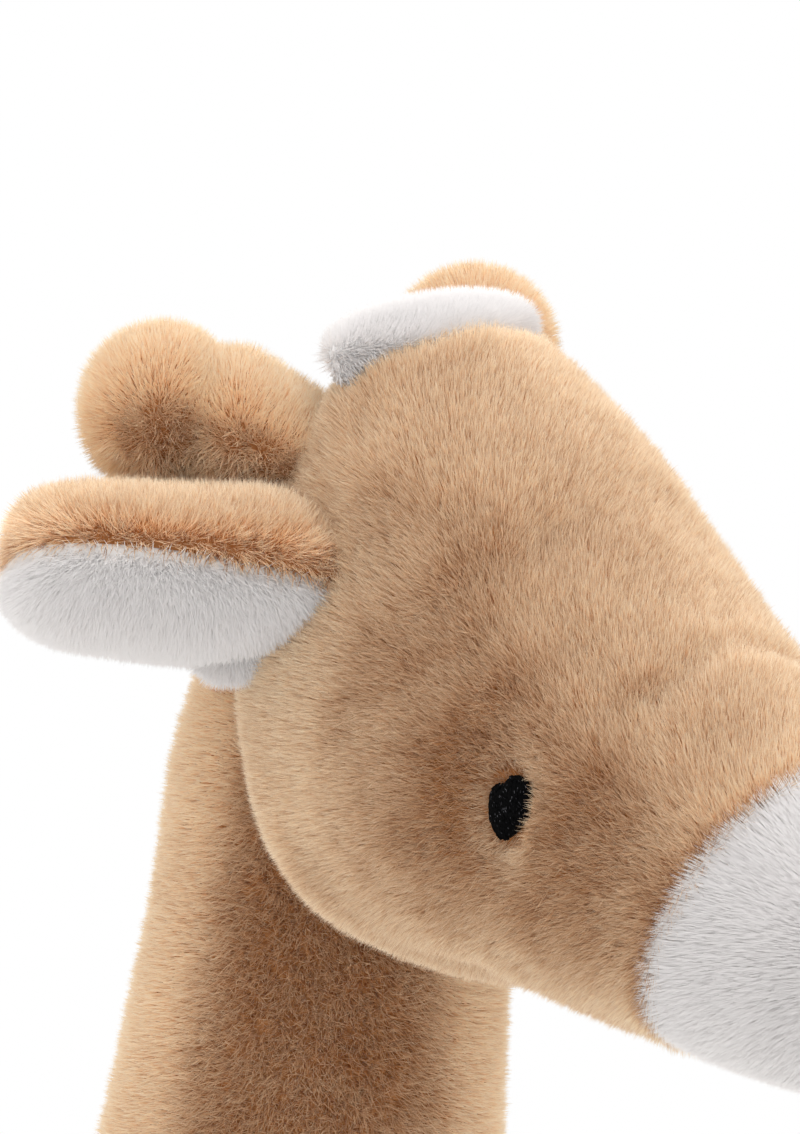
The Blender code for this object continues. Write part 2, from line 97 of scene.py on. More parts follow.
class Form:
    # a smooth closed skin through a stack of ovals: (middle, half width, half height up and down)

    def __init__(self, rows, side, around, step, forward=None):
        self.side = side
        self.around = around
        table, share = self.refine(rows, forward, step)
        angles = np.arange(around) * math.tau / around
        across, rising = np.cos(angles), np.sin(angles)
        points, alongs, rings = [], [], []
        for place, row in enumerate(table):
            middle, (wide, high, low), rise = row[:3], row[3:6], unit(row[6:9])
            end = place in (0, len(table) - 1)
            if end and max(wide, high, low) > 1e-7:
                caps = [None, "ring"] if place == 0 else ["ring", None]
            else:
                caps = [None] if end else ["ring"]
            for cap in caps:
                start = len(points)
                if cap is None:
                    points.append(middle)
                    alongs.append(share[place])
                    rings.append([start])
                    continue
                tall = np.where(rising > 0, high, low) * rising
                points.extend(middle + np.outer(across * wide, side) + np.outer(tall, rise))
                alongs.extend([share[place]] * around)
                rings.append(list(range(start, start + around)))
        self.points = np.array(points)
        self.along = np.array(alongs)
        self.rings = rings
        self.faces = []
        for first, second in zip(rings, rings[1:]):
            for step in range(around):
                after = (step + 1) % around
                if len(first) == 1:
                    self.faces.append((first[0], second[after], second[step]))
                elif len(second) == 1:
                    self.faces.append((first[step], first[after], second[0]))
                else:
                    self.faces.append((first[step], first[after], second[after], second[step]))

    def refine(self, rows, forward, step):
        table = []
        for index, (middle, wide, high, low) in enumerate(rows):
            before = rows[max(index - 1, 0)][0]
            after = rows[min(index + 1, len(rows) - 1)][0]
            along = forward if forward is not None else after - before
            table.append(np.concatenate((middle, (wide, high, low), unit(np.cross(along, self.side)))))
        table = np.array(table)
        sizes = table[:, 3:6].max(axis=1)
        moves = np.linalg.norm(np.diff(table[:, :3], axis=0), axis=1)
        gaps = np.sqrt(moves ** 2 + np.diff(sizes) ** 2)
        slopes = np.diff(table, axis=0) / gaps[:, None]
        tangents = np.empty_like(table)
        inner = gaps[1:, None] * slopes[:-1] + gaps[:-1, None] * slopes[1:]
        tangents[1:-1] = inner / (gaps[1:] + gaps[:-1])[:, None]
        tangents[0], tangents[-1] = slopes[0], slopes[-1]
        for end in (0, -1):
            if sizes[end] < 1e-7:       # a pole: the skin closes square to its axis
                tangents[end, :3] = 0
        fine, shares = [], []
        for index, gap in enumerate(gaps):
            count = max(1, round(gap / step))
            for part in range(count):
                t = part / count
                h00, h10 = 2 * t ** 3 - 3 * t ** 2 + 1, t ** 3 - 2 * t ** 2 + t
                h01, h11 = 3 * t ** 2 - 2 * t ** 3, t ** 3 - t ** 2
                start, stop = table[index], table[index + 1]
                bend = h10 * tangents[index] + h11 * tangents[index + 1]
                fine.append(h00 * start + h01 * stop + bend * gap)
                shares.append(index + t)
        fine.append(table[-1])
        shares.append(len(rows) - 1)
        fine = np.array(fine)
        fine[:, 3:6] = np.maximum(fine[:, 3:6], 0)
        return fine, shares

    def normals(self):
        mesh = bpy.data.meshes.new("normals")
        mesh.from_pydata(self.points.tolist(), [], self.faces)
        found = np.empty(len(self.points) * 3, np.float32)
        mesh.vertex_normals.foreach_get("vector", found)
        bpy.data.meshes.remove(mesh)
        return found.reshape(-1, 3).astype(float)

    def grow(self, distance):
        self.points = self.points + self.normals() * distance
        return self

    def tree(self):
        return BVHTree.FromPolygons(self.points.tolist(), self.faces)

    def cut(self, first, last=math.inf):
        # the part of the skin from one row number to another, closed by a lip that turns in
        kept = [ring for ring in self.rings if first <= self.along[ring[0]] <= last]
        made = Form.__new__(Form)
        made.side, made.around = self.side, self.around
        numbers = [number for ring in kept for number in ring]
        made.points, made.along = self.points[numbers], self.along[numbers]
        place = {number: index for index, number in enumerate(numbers)}
        made.rings = [[place[number] for number in ring] for ring in kept]
        made.faces = [tuple(place[n] for n in face) for face in self.faces if all(n in place for n in face)]
        for end in (0, -1):
            rim = made.rings[end]
            if len(rim) == 1:
                continue
            middle = made.points[rim].mean(axis=0)
            inset = made.points[rim] * (1 - lipShare) + middle * lipShare
            start = len(made.points)
            made.points = np.vstack((made.points, inset, middle[None]))
            made.along = np.concatenate((made.along, made.along[rim], (made.along[rim[0]],)))
            for step in range(made.around):
                after = (step + 1) % made.around
                lipFace = (rim[step], rim[after], start + after, start + step)
                capFace = (start + step, start + after, start + made.around)
                made.faces += [face[::-1] if end == 0 else face for face in (lipFace, capFace)]
        return made


def inside(point, tree):
    # a line from a point inside a closed skin crosses it an odd number of times
    way = Vector((0.31, 0.17, 0.93)).normalized()
    crossings = 0
    hit = tree.ray_cast(point, way)[0]
    while hit is not None:
        crossings += 1
        hit = tree.ray_cast(hit + way * 1e-6, way)[0]
    return crossings % 2 == 1


def depthInside(points, tree):
    # how deep points lie inside a skin, negative outside
    depth = np.empty(len(points))
    for index, point in enumerate(points):
        distance = tree.find_nearest(Vector(point))[3]
        depth[index] = distance if inside(Vector(point), tree) else -distance
    return depth


def meshObject(name, points, faces, finish):
    mesh = bpy.data.meshes.new(name)
    mesh.from_pydata(np.asarray(points).tolist(), [], faces)
    mesh.shade_smooth()
    mesh.materials.append(finish)
    made = bpy.data.objects.new(name, mesh)
    bpy.context.scene.collection.objects.link(made)
    return made


# node graphs: sockets that can be added and multiplied

class Wire:
    def __init__(self, graph, socket):
        self.graph = graph
        self.socket = socket

    def sum(self, operation, first, second=None):
        values = {0: first} if second is None else {0: first, 1: second}
        return self.graph.add("ShaderNodeMath", {"operation": operation}, values)

    def __add__(self, other): return self.sum("ADD", self, other)
    def __radd__(self, other): return self.sum("ADD", other, self)
    def __sub__(self, other): return self.sum("SUBTRACT", self, other)
    def __rsub__(self, other): return self.sum("SUBTRACT", other, self)
    def __mul__(self, other): return self.sum("MULTIPLY", self, other)
    def __rmul__(self, other): return self.sum("MULTIPLY", other, self)
    def __truediv__(self, other): return self.sum("DIVIDE", self, other)
    def __rtruediv__(self, other): return self.sum("DIVIDE", other, self)

    def vector(self, operation, other, slot=1):
        return self.graph.add("ShaderNodeVectorMath", {"operation": operation}, {0: self, slot: other})

    def clamped(self):
        return self.graph.add("ShaderNodeClamp", {}, {"Value": self})

    def other(self, name):
        return Wire(self.graph, self.socket.node.outputs[name])


class Graph:
    def __init__(self, tree):
        self.tree = tree

    def add(self, kind, settings, values, output=0):
        node = self.tree.nodes.new(kind)
        for name, value in settings.items():
            if name == "stops":
                self.setStops(node.color_ramp, value)
            else:
                setattr(node, name, value)
        for key, value in values.items():
            if isinstance(value, Wire):
                self.tree.links.new(value.socket, node.inputs[key])
            else:
                node.inputs[key].default_value = value
        if not node.outputs:
            return node
        return Wire(self, node.outputs[output])

    def setStops(self, ramp, stops):
        while len(ramp.elements) < len(stops):
            ramp.elements.new(1.0)
        for element, (place, colour) in zip(ramp.elements, stops):
            element.position = place
            element.color = colour

    def mixed(self, factor, first, second):
        return self.add("ShaderNodeMix", {"data_type": "RGBA"}, {0: factor, 6: first, 7: second}, 2)


def colour(red, green, blue):
    # a colour given as it looks on a screen, from 0 to 255
    values = [((part / 255 + 0.055) / 1.055) ** 2.4 for part in (red, green, blue)]
    return (*values, 1.0)


def newMaterial(name):
    made = bpy.data.materials.new(name)
    made.use_nodes = True
    graph = Graph(made.node_tree)
    shader = made.node_tree.nodes["Principled BSDF"]
    return made, graph, shader


def feed(graph, shader, values):
    for name, value in values.items():
        if isinstance(value, Wire):
            graph.tree.links.new(value.socket, shader.inputs[name])
        else:
            shader.inputs[name].default_value = value


# camera, light and floor

view = {
    "azimuth": -42.0,
    "elevation": 12.5,
    "distance": 1.2,            # from the plane of the nod pivot
    "aside": 8.33 * mm,         # the picture's middle from the nod pivot
    "above": 28.83 * mm,
    "lens": 228.6,
    "topLamp": 10.5,
    "rimLamp": 6.5,
    "skyStrength": 0.95,
    "skyColour": (1.0, 0.99, 0.975, 1.0),
    "floorRadius": 0.8,
}

pivot = np.array((0.0, -0.03032, 0.402))
scene = bpy.context.scene
scene.view_settings.view_transform = "Standard"


def placeCamera():
    turn, rise = math.radians(view["azimuth"]), math.radians(view["elevation"])
    towards = np.array((math.sin(turn) * math.cos(rise), -math.cos(turn) * math.cos(rise), math.sin(rise)))
    right = np.array((math.cos(turn), math.sin(turn), 0.0))
    over = np.cross(towards, right)
    target = pivot + right * view["aside"] + over * view["above"]
    data = bpy.data.cameras.new("camera")
    data.lens = view["lens"]
    data.sensor_width = 36.0
    data.clip_end = 50.0
    camera = bpy.data.objects.new("camera", data)
    camera.location = Vector(target + towards * view["distance"])
    camera.rotation_euler = Vector(towards).to_track_quat("Z", "Y").to_euler()
    scene.collection.objects.link(camera)
    scene.camera = camera


def addLamp(name, place, target, size, power, tint):
    data = bpy.data.lights.new(name, "AREA")
    data.shape = "DISK"
    data.size = size
    data.energy = power
    data.color = tint
    lamp = bpy.data.objects.new(name, data)
    lamp.location = Vector(place)
    lamp.rotation_euler = (Vector(place) - Vector(target)).to_track_quat("Z", "Y").to_euler()
    scene.collection.objects.link(lamp)


def lightScene():
    world = bpy.data.worlds.new("softSky")
    world.use_nodes = True
    scene.world = world
    graph = Graph(world.node_tree)
    world.node_tree.nodes.clear()
    sky = graph.add("ShaderNodeBackground", {}, {"Color": view["skyColour"], "Strength": view["skyStrength"]})
    white = graph.add("ShaderNodeBackground", {}, {"Color": (1, 1, 1, 1), "Strength": 1.0})
    rays = graph.add("ShaderNodeLightPath", {}, {})
    seen = rays.sum("MAXIMUM", rays, rays.other("Is Glossy Ray"))
    seen = rays.sum("MAXIMUM", seen, rays.other("Is Transmission Ray"))
    both = graph.add("ShaderNodeMixShader", {}, {0: seen, 1: sky, 2: white})
    graph.add("ShaderNodeOutputWorld", {}, {"Surface": both})
    addLamp("topLamp", (0.25, -0.15, 1.6), (0, -0.05, 0.35), 1.1, view["topLamp"], (1.0, 0.99, 0.97))
    addLamp("leftRimLamp", (-0.35, 1.35, 0.75), (0, -0.05, 0.3), 0.9, view["rimLamp"], (1.0, 0.99, 0.97))
    addLamp("rightRimLamp", (1.4, 0.05, 0.75), (0, -0.05, 0.3), 0.9, view["rimLamp"], (1.0, 0.99, 0.97))


def layFloor():
    around = 96
    rim = [(math.cos(math.tau * i / around), math.sin(math.tau * i / around), 0) for i in range(around)]
    points = np.array([(0, 0, 0)] + rim) * view["floorRadius"]
    faces = [(0, 1 + i, 1 + (i + 1) % around) for i in range(around)]
    finish, graph, shader = newMaterial("paleFloor")
    place = graph.add("ShaderNodeTexCoord", {}, {}, 3)
    distance = place.vector("LENGTH", (0, 0, 0)).other("Value")
    grain = graph.add("ShaderNodeTexNoise", {}, {"Vector": place, "Scale": 40.0, "Detail": 3.0})
    tint = graph.mixed(grain, (0.80, 0.80, 0.79, 1), (0.84, 0.84, 0.83, 1))
    feed(graph, shader, {"Base Color": tint, "Roughness": 0.9})
    white = graph.add("ShaderNodeEmission", {}, {"Color": (1, 1, 1, 1), "Strength": 1.0})
    rays = graph.add("ShaderNodeLightPath", {}, {})
    fade = ((distance - 0.28) / (view["floorRadius"] - 0.3)).clamped() * rays
    output = finish.node_tree.nodes["Material Output"]
    both = graph.add("ShaderNodeMixShader", {}, {0: fade, 1: Wire(graph, shader.outputs[0]), 2: white})
    graph.tree.links.new(both.socket, output.inputs["Surface"])
    floor = meshObject("floor", points, faces, finish)
    floor.data.shade_flat()


placeCamera()
lightScene()
layFloor()
print("camera, light and floor set")


# plush finishes: the pile's colour runs from root to tip, darker towards the root, partly the fibres' own colour and
# partly painted shade deep in the pile; and by strand, a tone that also carries painted light and shade

pileColours = {
    "tan": {
        "roots": (colour(116, 62, 24), colour(138, 78, 34), colour(180, 117, 61), colour(231, 176, 119)),
        "tips": (colour(222, 170, 122), colour(252, 211, 168), colour(255, 234, 200), colour(255, 245, 226)),
        "skin": (colour(150, 94, 52), colour(186, 132, 86)),
    },
    "white": {
        "roots": (colour(240, 238, 237), colour(244, 242, 242), colour(247, 245, 245), colour(249, 247, 247)),
        "tips": (colour(238, 236, 235), colour(246, 244, 244), colour(250, 248, 248), colour(252, 250, 250)),
        "skin": (colour(240, 238, 237), colour(246, 244, 244)),
    },
}
strandStops = (0.22, 0.5, 0.78, 1.0)


def pileMaterial(name, colours):
    made, graph, shader = newMaterial(name)
    place = graph.add("ShaderNodeUVMap", {"uv_map": "OFBake"}, {})
    split = graph.add("ShaderNodeSeparateXYZ", {}, {0: place})
    tone, rise = split, split.other("Y")
    dark = graph.add("ShaderNodeValToRGB", {"stops": list(zip(strandStops, colours["roots"]))}, {0: rise})
    pale = graph.add("ShaderNodeValToRGB", {"stops": list(zip(strandStops, colours["tips"]))}, {0: rise})
    feed(graph, shader, {
        "Base Color": graph.mixed(tone, dark, pale),
        "Roughness": 0.88,
        "Specular IOR Level": 0.12,
        "Sheen Weight": 0.25,
        "Sheen Roughness": 0.4,
    })
    return made


def skinMaterial(name, colours):
    # the dense foot of the pile on its knitted backing, seen between the strands; the tan skin is dark, partly a
    # painted shade in the gaps of the pile
    made, graph, shader = newMaterial(name)
    place = graph.add("ShaderNodeTexCoord", {}, {}, 3)
    coarse = graph.add("ShaderNodeTexNoise", {}, {"Vector": place, "Scale": 180.0, "Detail": 4.0})
    fine = graph.add("ShaderNodeTexNoise", {}, {"Vector": place, "Scale": 1400.0, "Detail": 2.0})
    height = fine * 0.7 + coarse * 0.3
    bump = graph.add("ShaderNodeBump", {}, {"Strength": 0.6, "Distance": 0.0008, "Height": height})
    feed(graph, shader, {
        "Base Color": graph.mixed((height * 1.8 - 0.4).clamped(), *colours["skin"]),
        "Roughness": 1.0,
        "Specular IOR Level": 0.1,
        "Normal": bump,
    })
    return made


finishes = {}
for plush, colours in pileColours.items():
    finishes[plush] = skinMaterial(plush + "PlushSkin", colours)
    finishes[plush + "Pile"] = pileMaterial(plush + "PlushPile", colours)


# pile: tapered strands spread over a skin by geometry nodes

strandShape = {"tipBend": 0.1, "uvWidth": 0.02}


def strandObject():
    points = [(-0.5, 0, 0), (0.5, 0, 0), (0, -strandShape["tipBend"], 1)]
    faces = [(1, 0, 2)]
    made = meshObject("strand", points, faces, finishes["tan"])
    layer = made.data.uv_layers.new(name="strandPlace")
    for loop in made.data.loops:
        x, _, z = points[loop.vertex_index]
        layer.data[loop.index].uv = (x * strandShape["uvWidth"], z)
    return made


pileInputs = (
    ("Density", "NodeSocketFloat"),
    ("Seed", "NodeSocketInt"),
    ("Length", "NodeSocketFloat"),
    ("Width", "NodeSocketFloat"),
    ("Lean", "NodeSocketFloat"),
    ("Ruffle", "NodeSocketFloat"),
    ("Stray", "NodeSocketFloat"),
    ("Tuft Size", "NodeSocketFloat"),
    ("Tuft Pull", "NodeSocketFloat"),
    ("Sunk", "NodeSocketFloat"),
    ("Strand", "NodeSocketObject"),
    ("Finish", "NodeSocketMaterial"),
)


def nodeGroup(name, inputs):
    # a geometry node group with named inputs: the group, their identifiers, its graph and input node
    tree = bpy.data.node_groups.new(name, "GeometryNodeTree")
    tree.interface.new_socket("Geometry", in_out="INPUT", socket_type="NodeSocketGeometry")
    for label, kind in inputs:
        tree.interface.new_socket(label, in_out="INPUT", socket_type=kind)
    tree.interface.new_socket("Geometry", in_out="OUTPUT", socket_type="NodeSocketGeometry")
    sockets = {item.name: item.identifier for item in tree.interface.items_tree if item.in_out == "INPUT"}
    graph = Graph(tree)
    return tree, sockets, graph, graph.add("NodeGroupInput", {}, {})


def growNodes(name, mesh, kind, values):
    # what a node group makes of a mesh, as an object with a plain mesh of its own
    ground = bpy.data.objects.new(name + "Ground", mesh)
    scene.collection.objects.link(ground)
    modifier = ground.modifiers.new("nodes", "NODES")
    modifier.node_group, sockets = kind
    for key, value in values.items():
        modifier[sockets[key]] = value
    graph = bpy.context.evaluated_depsgraph_get()
    result = bpy.data.meshes.new_from_object(ground.evaluated_get(graph))
    ground.modifiers.clear()
    bpy.data.objects.remove(ground, do_unlink=True)
    bpy.data.meshes.remove(mesh)
    result.name = name
    result.shade_smooth()
    made = bpy.data.objects.new(name, result)
    scene.collection.objects.link(made)
    return made


def pileTree():
    tree, sockets, graph, given = nodeGroup("plushPile", pileInputs)
    read = lambda name, kind="FLOAT": graph.add(
        "GeometryNodeInputNamedAttribute", {"data_type": kind}, {"Name": name})
    chance = lambda low, high, seed: graph.add(
        "FunctionNodeRandomValue", {"data_type": "FLOAT"}, {2: low, 3: high, "Seed": seed}, 1)

    spread = graph.add("GeometryNodeDistributePointsOnFaces", {"distribute_method": "RANDOM"}, {
        "Mesh": given, "Density": given.other("Density") * read("cover"), "Seed": given.other("Seed")})
    normal = spread.other("Normal")
    place = graph.add("GeometryNodeInputPosition", {}, {})

    # strands lean along the comb, waver, and draw together into tufts
    cells = graph.add("ShaderNodeTexVoronoi", {"feature": "F1"}, {
        "Vector": place, "Scale": 1 / given.other("Tuft Size"), "Randomness": 1.0})
    pull = cells.other("Position").vector("SUBTRACT", place)
    pull = pull.vector("SCALE", read("loose") * given.other("Tuft Pull") / given.other("Tuft Size"), 3)
    waver = graph.add("ShaderNodeTexNoise", {"noise_dimensions": "3D"}, {
        "Vector": place, "Scale": 210.0, "Detail": 3.0}).other("Color")
    waver = waver.vector("SUBTRACT", (0.5, 0.5, 0.5)).vector("SCALE", given.other("Ruffle") * read("loose") * 2.2, 3)
    jitter = graph.add("FunctionNodeRandomValue", {"data_type": "FLOAT_VECTOR"}, {
        0: (-1, -1, -1), 1: (1, 1, 1), "Seed": given.other("Seed") + 11}, 0)
    jitter = jitter.vector("SCALE", given.other("Stray") * read("loose"), 3)
    comb = read("comb", "FLOAT_VECTOR").vector("SCALE", given.other("Lean"), 3)
    aside = comb.vector("ADD", pull).vector("ADD", waver).vector("ADD", jitter)
    lift = normal.vector("SCALE", aside.vector("DOT_PRODUCT", normal).other("Value"), 3)
    flow = aside.vector("SUBTRACT", lift).vector("ADD", normal).vector("NORMALIZE", (0, 0, 0))
    facing = graph.add("FunctionNodeAxesToRotation", {"primary_axis": "Z", "secondary_axis": "Y"}, {
        0: flow, 1: normal.vector("ADD", jitter.vector("SCALE", 0.5, 3))})

    # tone: one number from 0 to 1 for each strand, from the shade attribute, which holds painted light and shade,
    # with random changes by tuft, patch and strand
    seed = given.other("Seed")
    cellTone = graph.add("ShaderNodeSeparateXYZ", {}, {0: cells.other("Color")})
    patches = graph.add("ShaderNodeTexNoise", {}, {"Vector": place, "Scale": 60.0, "Detail": 3.0})
    tone = read("shade") + (cellTone - 0.5) * 0.12 + (patches - 0.5) * 0.35 + chance(-0.28, 0.28, seed + 5)
    tone = graph.add("ShaderNodeClamp", {}, {"Value": tone, "Min": 0.02, "Max": 0.98})
    toned = graph.add("GeometryNodeStoreNamedAttribute", {"data_type": "FLOAT", "domain": "POINT"}, {
        "Geometry": spread, "Name": "tone", "Value": tone})

    length = given.other("Length") * read("pile") * chance(0.72, 1.12, seed + 1)
    width = given.other("Width") * read("stout") * chance(0.7, 1.3, seed + 2)
    size = graph.add("ShaderNodeCombineXYZ", {}, {0: width, 1: length, 2: length})
    strand = graph.add("GeometryNodeObjectInfo", {}, {"Object": given.other("Strand")}).other("Geometry")
    sunk = graph.add("GeometryNodeSetPosition", {}, {
        "Geometry": toned, "Offset": normal.vector("SCALE", 0 - given.other("Sunk"), 3)})
    grown = graph.add("GeometryNodeInstanceOnPoints", {}, {
        "Points": sunk, "Instance": strand, "Rotation": facing, "Scale": size})
    real = graph.add("GeometryNodeRealizeInstances", {}, {"Geometry": grown})
    corner = graph.add("ShaderNodeSeparateXYZ", {}, {0: place})
    above = graph.add("ShaderNodeMath", {"operation": "MAXIMUM"}, {0: corner.other("Z"), 1: floorGap})
    real = graph.add("GeometryNodeSetPosition", {}, {"Geometry": real, "Position": graph.add(
        "ShaderNodeCombineXYZ", {}, {0: corner, 1: corner.other("Y"), 2: above})})
    spot = graph.add("ShaderNodeSeparateXYZ", {}, {0: read("strandPlace", "FLOAT_VECTOR")})
    bake = graph.add("ShaderNodeCombineXYZ", {}, {0: read("tone") + spot, 1: spot.other("Y")})
    mapped = graph.add("GeometryNodeStoreNamedAttribute", {"data_type": "FLOAT2", "domain": "CORNER"}, {
        "Geometry": real, "Name": "OFBake", "Value": bake})
    done = graph.add("GeometryNodeSetMaterial", {}, {"Geometry": mapped, "Material": given.other("Finish")})
    graph.add("NodeGroupOutput", {}, {0: done})
    return tree, sockets


strand = strandObject()
plushPile = pileTree()
flowNumbers = ("cover", "pile", "shade", "stout", "loose")
pieceCount = {"pieces": 0, "faces": 0}


def growPile(name, form, flow, pile, finish):
    # one object of strands on a skin; flow holds the comb, cover, length, shade, width and looseness at each point
    mesh = bpy.data.meshes.new(name)
    mesh.from_pydata(form.points.tolist(), [], form.faces)
    mesh.shade_smooth()
    mesh.attributes.new("comb", "FLOAT_VECTOR", "POINT").data.foreach_set("vector", flow["comb"].ravel())
    for part in flowNumbers:
        mesh.attributes.new(part, "FLOAT", "POINT").data.foreach_set("value", flow[part])
    made = growNodes(name, mesh, plushPile, dict(pile, Strand=strand, Finish=finish))
    for spare in ("comb", *flowNumbers, "tone", "strandPlace", "id"):
        found = made.data.attributes.get(spare)
        if found:
            made.data.attributes.remove(found)
    faces = sum(len(polygon.vertices) - 2 for polygon in made.data.polygons)
    pieceCount["pieces"] += 1
    pieceCount["faces"] += faces
    print("  pile", name, faces, "triangles")
    return made


def addPile(name, form, flow, pile, plush, body, layers=1):
    for layer in range(layers):
        values = dict(pile, Density=pile["Density"] / layers, Seed=pile["Seed"] + 40 * layer)
        label = name if layers == 1 else name + str(layer + 1)
        made = growPile(label, form, flow, values, finishes[plush + "Pile"])
        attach(made, body)
        plush + "_plush"


def addSkin(name, form, plush, body, nodes):
    made = meshObject(name, form.points, form.faces, finishes[plush])
    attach(made, body)
    plush + "_plush"
    if nodes:
        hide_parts(*nodes)


# the nap parts round a spot: there the pile stands open and looser, and its tone is painted darker, a painted shade
# where the surface faces the spot; past its reach it lies along a comb
nap = {
    "spot": (-0.68, -0.72, -0.12), "reachFrom": 0.0, "reachTo": -0.6,
    "openTone": 0.06, "flatTone": 0.78, "openFrom": 0.62, "openTo": 0.97, "underShade": 0.12,
}


def evenFlow(form, comb, shade=0.0, spot=nap["spot"]):
    # the same pile everywhere, with its nap and a comb towards one direction
    count = len(form.points)
    normals = form.normals()
    comb = np.asarray(comb, float)
    along = normals @ unit(np.array(spot)) if spot else np.full(count, -1.0)
    away = smoothStep(along, nap["reachFrom"], nap["reachTo"])[:, None]
    outward = along[:, None] * normals - unit(np.array(spot)) if spot else np.zeros((count, 3))
    # painted shade: the tone falls where the surface faces the spot, and on surfaces that face down
    openAndShaded = smoothStep(along, nap["openFrom"], nap["openTo"])
    under = smoothStep(-normals[:, 2], 0.1, 0.9) * nap["underShade"]
    return {
        "comb": outward * (1 - away) + comb * (1 + away),
        "cover": np.ones(count),
        "pile": np.ones(count),
        "stout": np.ones(count),
        "loose": 0.8 + 1.5 * openAndShaded,
        "shade": nap["flatTone"] + (nap["openTone"] - nap["flatTone"]) * openAndShaded + shade - under,
    }


skinInset = 1.0 * mm        # the pile's foot, inside the surface that the pile makes
headPile = {
    "Density": 21e6, "Seed": 3, "Length": 4.5 * mm, "Width": 0.23 * mm, "Lean": 0.7, "Ruffle": 0.42,
    "Stray": 0.36, "Tuft Size": 1.9 * mm, "Tuft Pull": 0.24, "Sunk": 1.2 * mm,
}
whitePile = dict(headPile, Width=0.3 * mm, Lean=0.8, Ruffle=0.1, Stray=0.16, Length=3.9 * mm)
whitePile["Tuft Pull"] = 0.04
bodyPile = dict(headPile, Density=2.85e6, Width=0.67 * mm, Length=4.4 * mm, Seed=400)
hoofPile = dict(whitePile, Density=2.5e6, Width=0.7 * mm, Seed=400)


# head, with its white muzzle

headShape = {
    "length": 163 * mm, "height": 93 * mm, "width": 86 * mm, "back": 19 * mm, "pitch": 25.0,
    "crownRow": 3, "eyeRow": 9,
    "seamShare": 0.71, "seamDip": 0.1 * mm, "seamReach": 3.2 * mm, "eyeDimple": 0.7 * mm, "eyeDimpleReach": 8 * mm,
}
headShares = (
    (0.000, 0.630, 0.000, 0.000),
    (0.018, 0.610, 0.150, 0.140),
    (0.043, 0.550, 0.240, 0.235),
    (0.086, 0.450, 0.350, 0.375),
    (0.147, 0.370, 0.408, 0.445),
    (0.209, 0.327, 0.435, 0.473),
    (0.288, 0.298, 0.452, 0.477),
    (0.368, 0.287, 0.450, 0.453),
    (0.448, 0.302, 0.426, 0.418),
    (0.512, 0.327, 0.398, 0.388),
    (0.640, 0.363, 0.345, 0.332),
    (0.730, 0.392, 0.315, 0.298),
    (0.835, 0.426, 0.270, 0.254),
    (0.915, 0.454, 0.205, 0.196),
    (0.970, 0.468, 0.125, 0.122),
    (1.000, 0.472, 0.000, 0.000),
)
pitch = math.radians(headShape["pitch"])
headAhead = ahead * math.cos(pitch) - upward * math.sin(pitch)
headUp = ahead * math.sin(pitch) + upward * math.cos(pitch)


def inHead(along, rise):
    return pivot + headAhead * (along - headShape["back"]) + headUp * rise


headRows = []
for along, rise, wide, high in headShares:
    tall = headShape["height"] * high
    middle = inHead(headShape["length"] * along, headShape["height"] * rise)
    headRows.append((middle, headShape["width"] * wide, tall, tall))
headForm = Form(headRows, left, 88, 1.9 * mm, headAhead)
headTree = headForm.tree()

# eyes: where each sits, and its facing, upright and sideways directions
eyeShape = {
    "height": 10.9 * mm, "width": 7.5 * mm, "turn": 13.3, "raise": 0.35 * mm,
}


def eyeFrame(sense):
    out = left * sense
    middle, wide, high, _ = headRows[headShape["eyeRow"]]
    behind, inFront = headRows[headShape["eyeRow"] - 1], headRows[headShape["eyeRow"] + 1]
    taper = (behind[1] - inFront[1]) / np.dot(inFront[0] - behind[0], headAhead)
    turn = math.radians(eyeShape["turn"])
    place = middle + out * (wide * math.cos(turn)) + headUp * (high * math.sin(turn))
    facing = unit(out * math.cos(turn) + headUp * math.sin(turn) + headAhead * taper)
    upright = unit(upward - facing * np.dot(upward, facing))
    return place + upright * eyeShape["raise"], facing, upright, np.cross(upright, facing)


eyes = {side: eyeFrame(sense) for side, sense in (("right", -1), ("left", 1))}


# how far the stuffing pushes the head out, on both sides: places across, along and up, then the push
headPuffs = {
    "reach": 10 * mm,
    "pushes": (
        ((18, 19, 70), 2.9), ((20, 29, 68), 2.9), ((20, 38, 67), 3.4), ((23, 49, 63), 2.1), ((23, 62, 60), 1.6),
        ((22, 73, 59), 1.0), ((22, 84, 58), 0.0), ((29, 24, 12), 1.3), ((28, 32, 2), 2.5), ((27, 38, -2), 3.6),
        ((25, 44, -5), 3.4), ((23, 52, -8), 1.6), ((19, 60, -10), -0.6), ((20, 68, -7), -1.6), ((17, 80, -3), -4.0),
        ((9, 88, -2), -2.0), ((15, 100, 5), -1.2), ((12, 110, 8), -1.2), ((0, 70, -11), -1.0), ((0, 85, -5), -3.0),
        ((0, 25, 72), 2.5), ((0, 40, 70), 2.0), ((0, 55, 68), 1.0),
    ),
}
# creases in the stuffed cloth, each a run of places with its depth and reach
headCreases = (
    (((17, 90.4, 60.9), (10.8, 89.3, 64.1), (4.1, 87.4, 65.9)), 1.2, 2.8),
    (((14.9, 58, 65.9), (19.6, 72, 61), (21.9, 84, 58), (21.2, 93, 57)), 0.8, 4.5),
    (((34.6, 79, 29), (34.5, 84, 30.5), (33.3, 88, 32.3)), 0.7, 1.8),
    (((17.3, 11, 69), (23.3, 23.4, 65.3)), 1.2, 2.4),
)


def bothSides(places):
    # places across, along and up in the head, in millimetres, as points on its right and left
    found = []
    for sense in (-1, 1):
        found.append(np.array([inHead(along * mm, rise * mm) + left * (across * mm * sense)
                               for across, along, rise in places]))
    return found


def creaseDistance(points, run):
    # how near points lie to a run of straight stretches
    best = np.full(len(points), np.inf)
    for start, stop in zip(run, run[1:]):
        stretch = stop - start
        share = np.clip((points - start) @ stretch / (stretch @ stretch), 0, 1)
        best = np.minimum(best, np.linalg.norm(points - start - np.outer(share, stretch), axis=1))
    return best


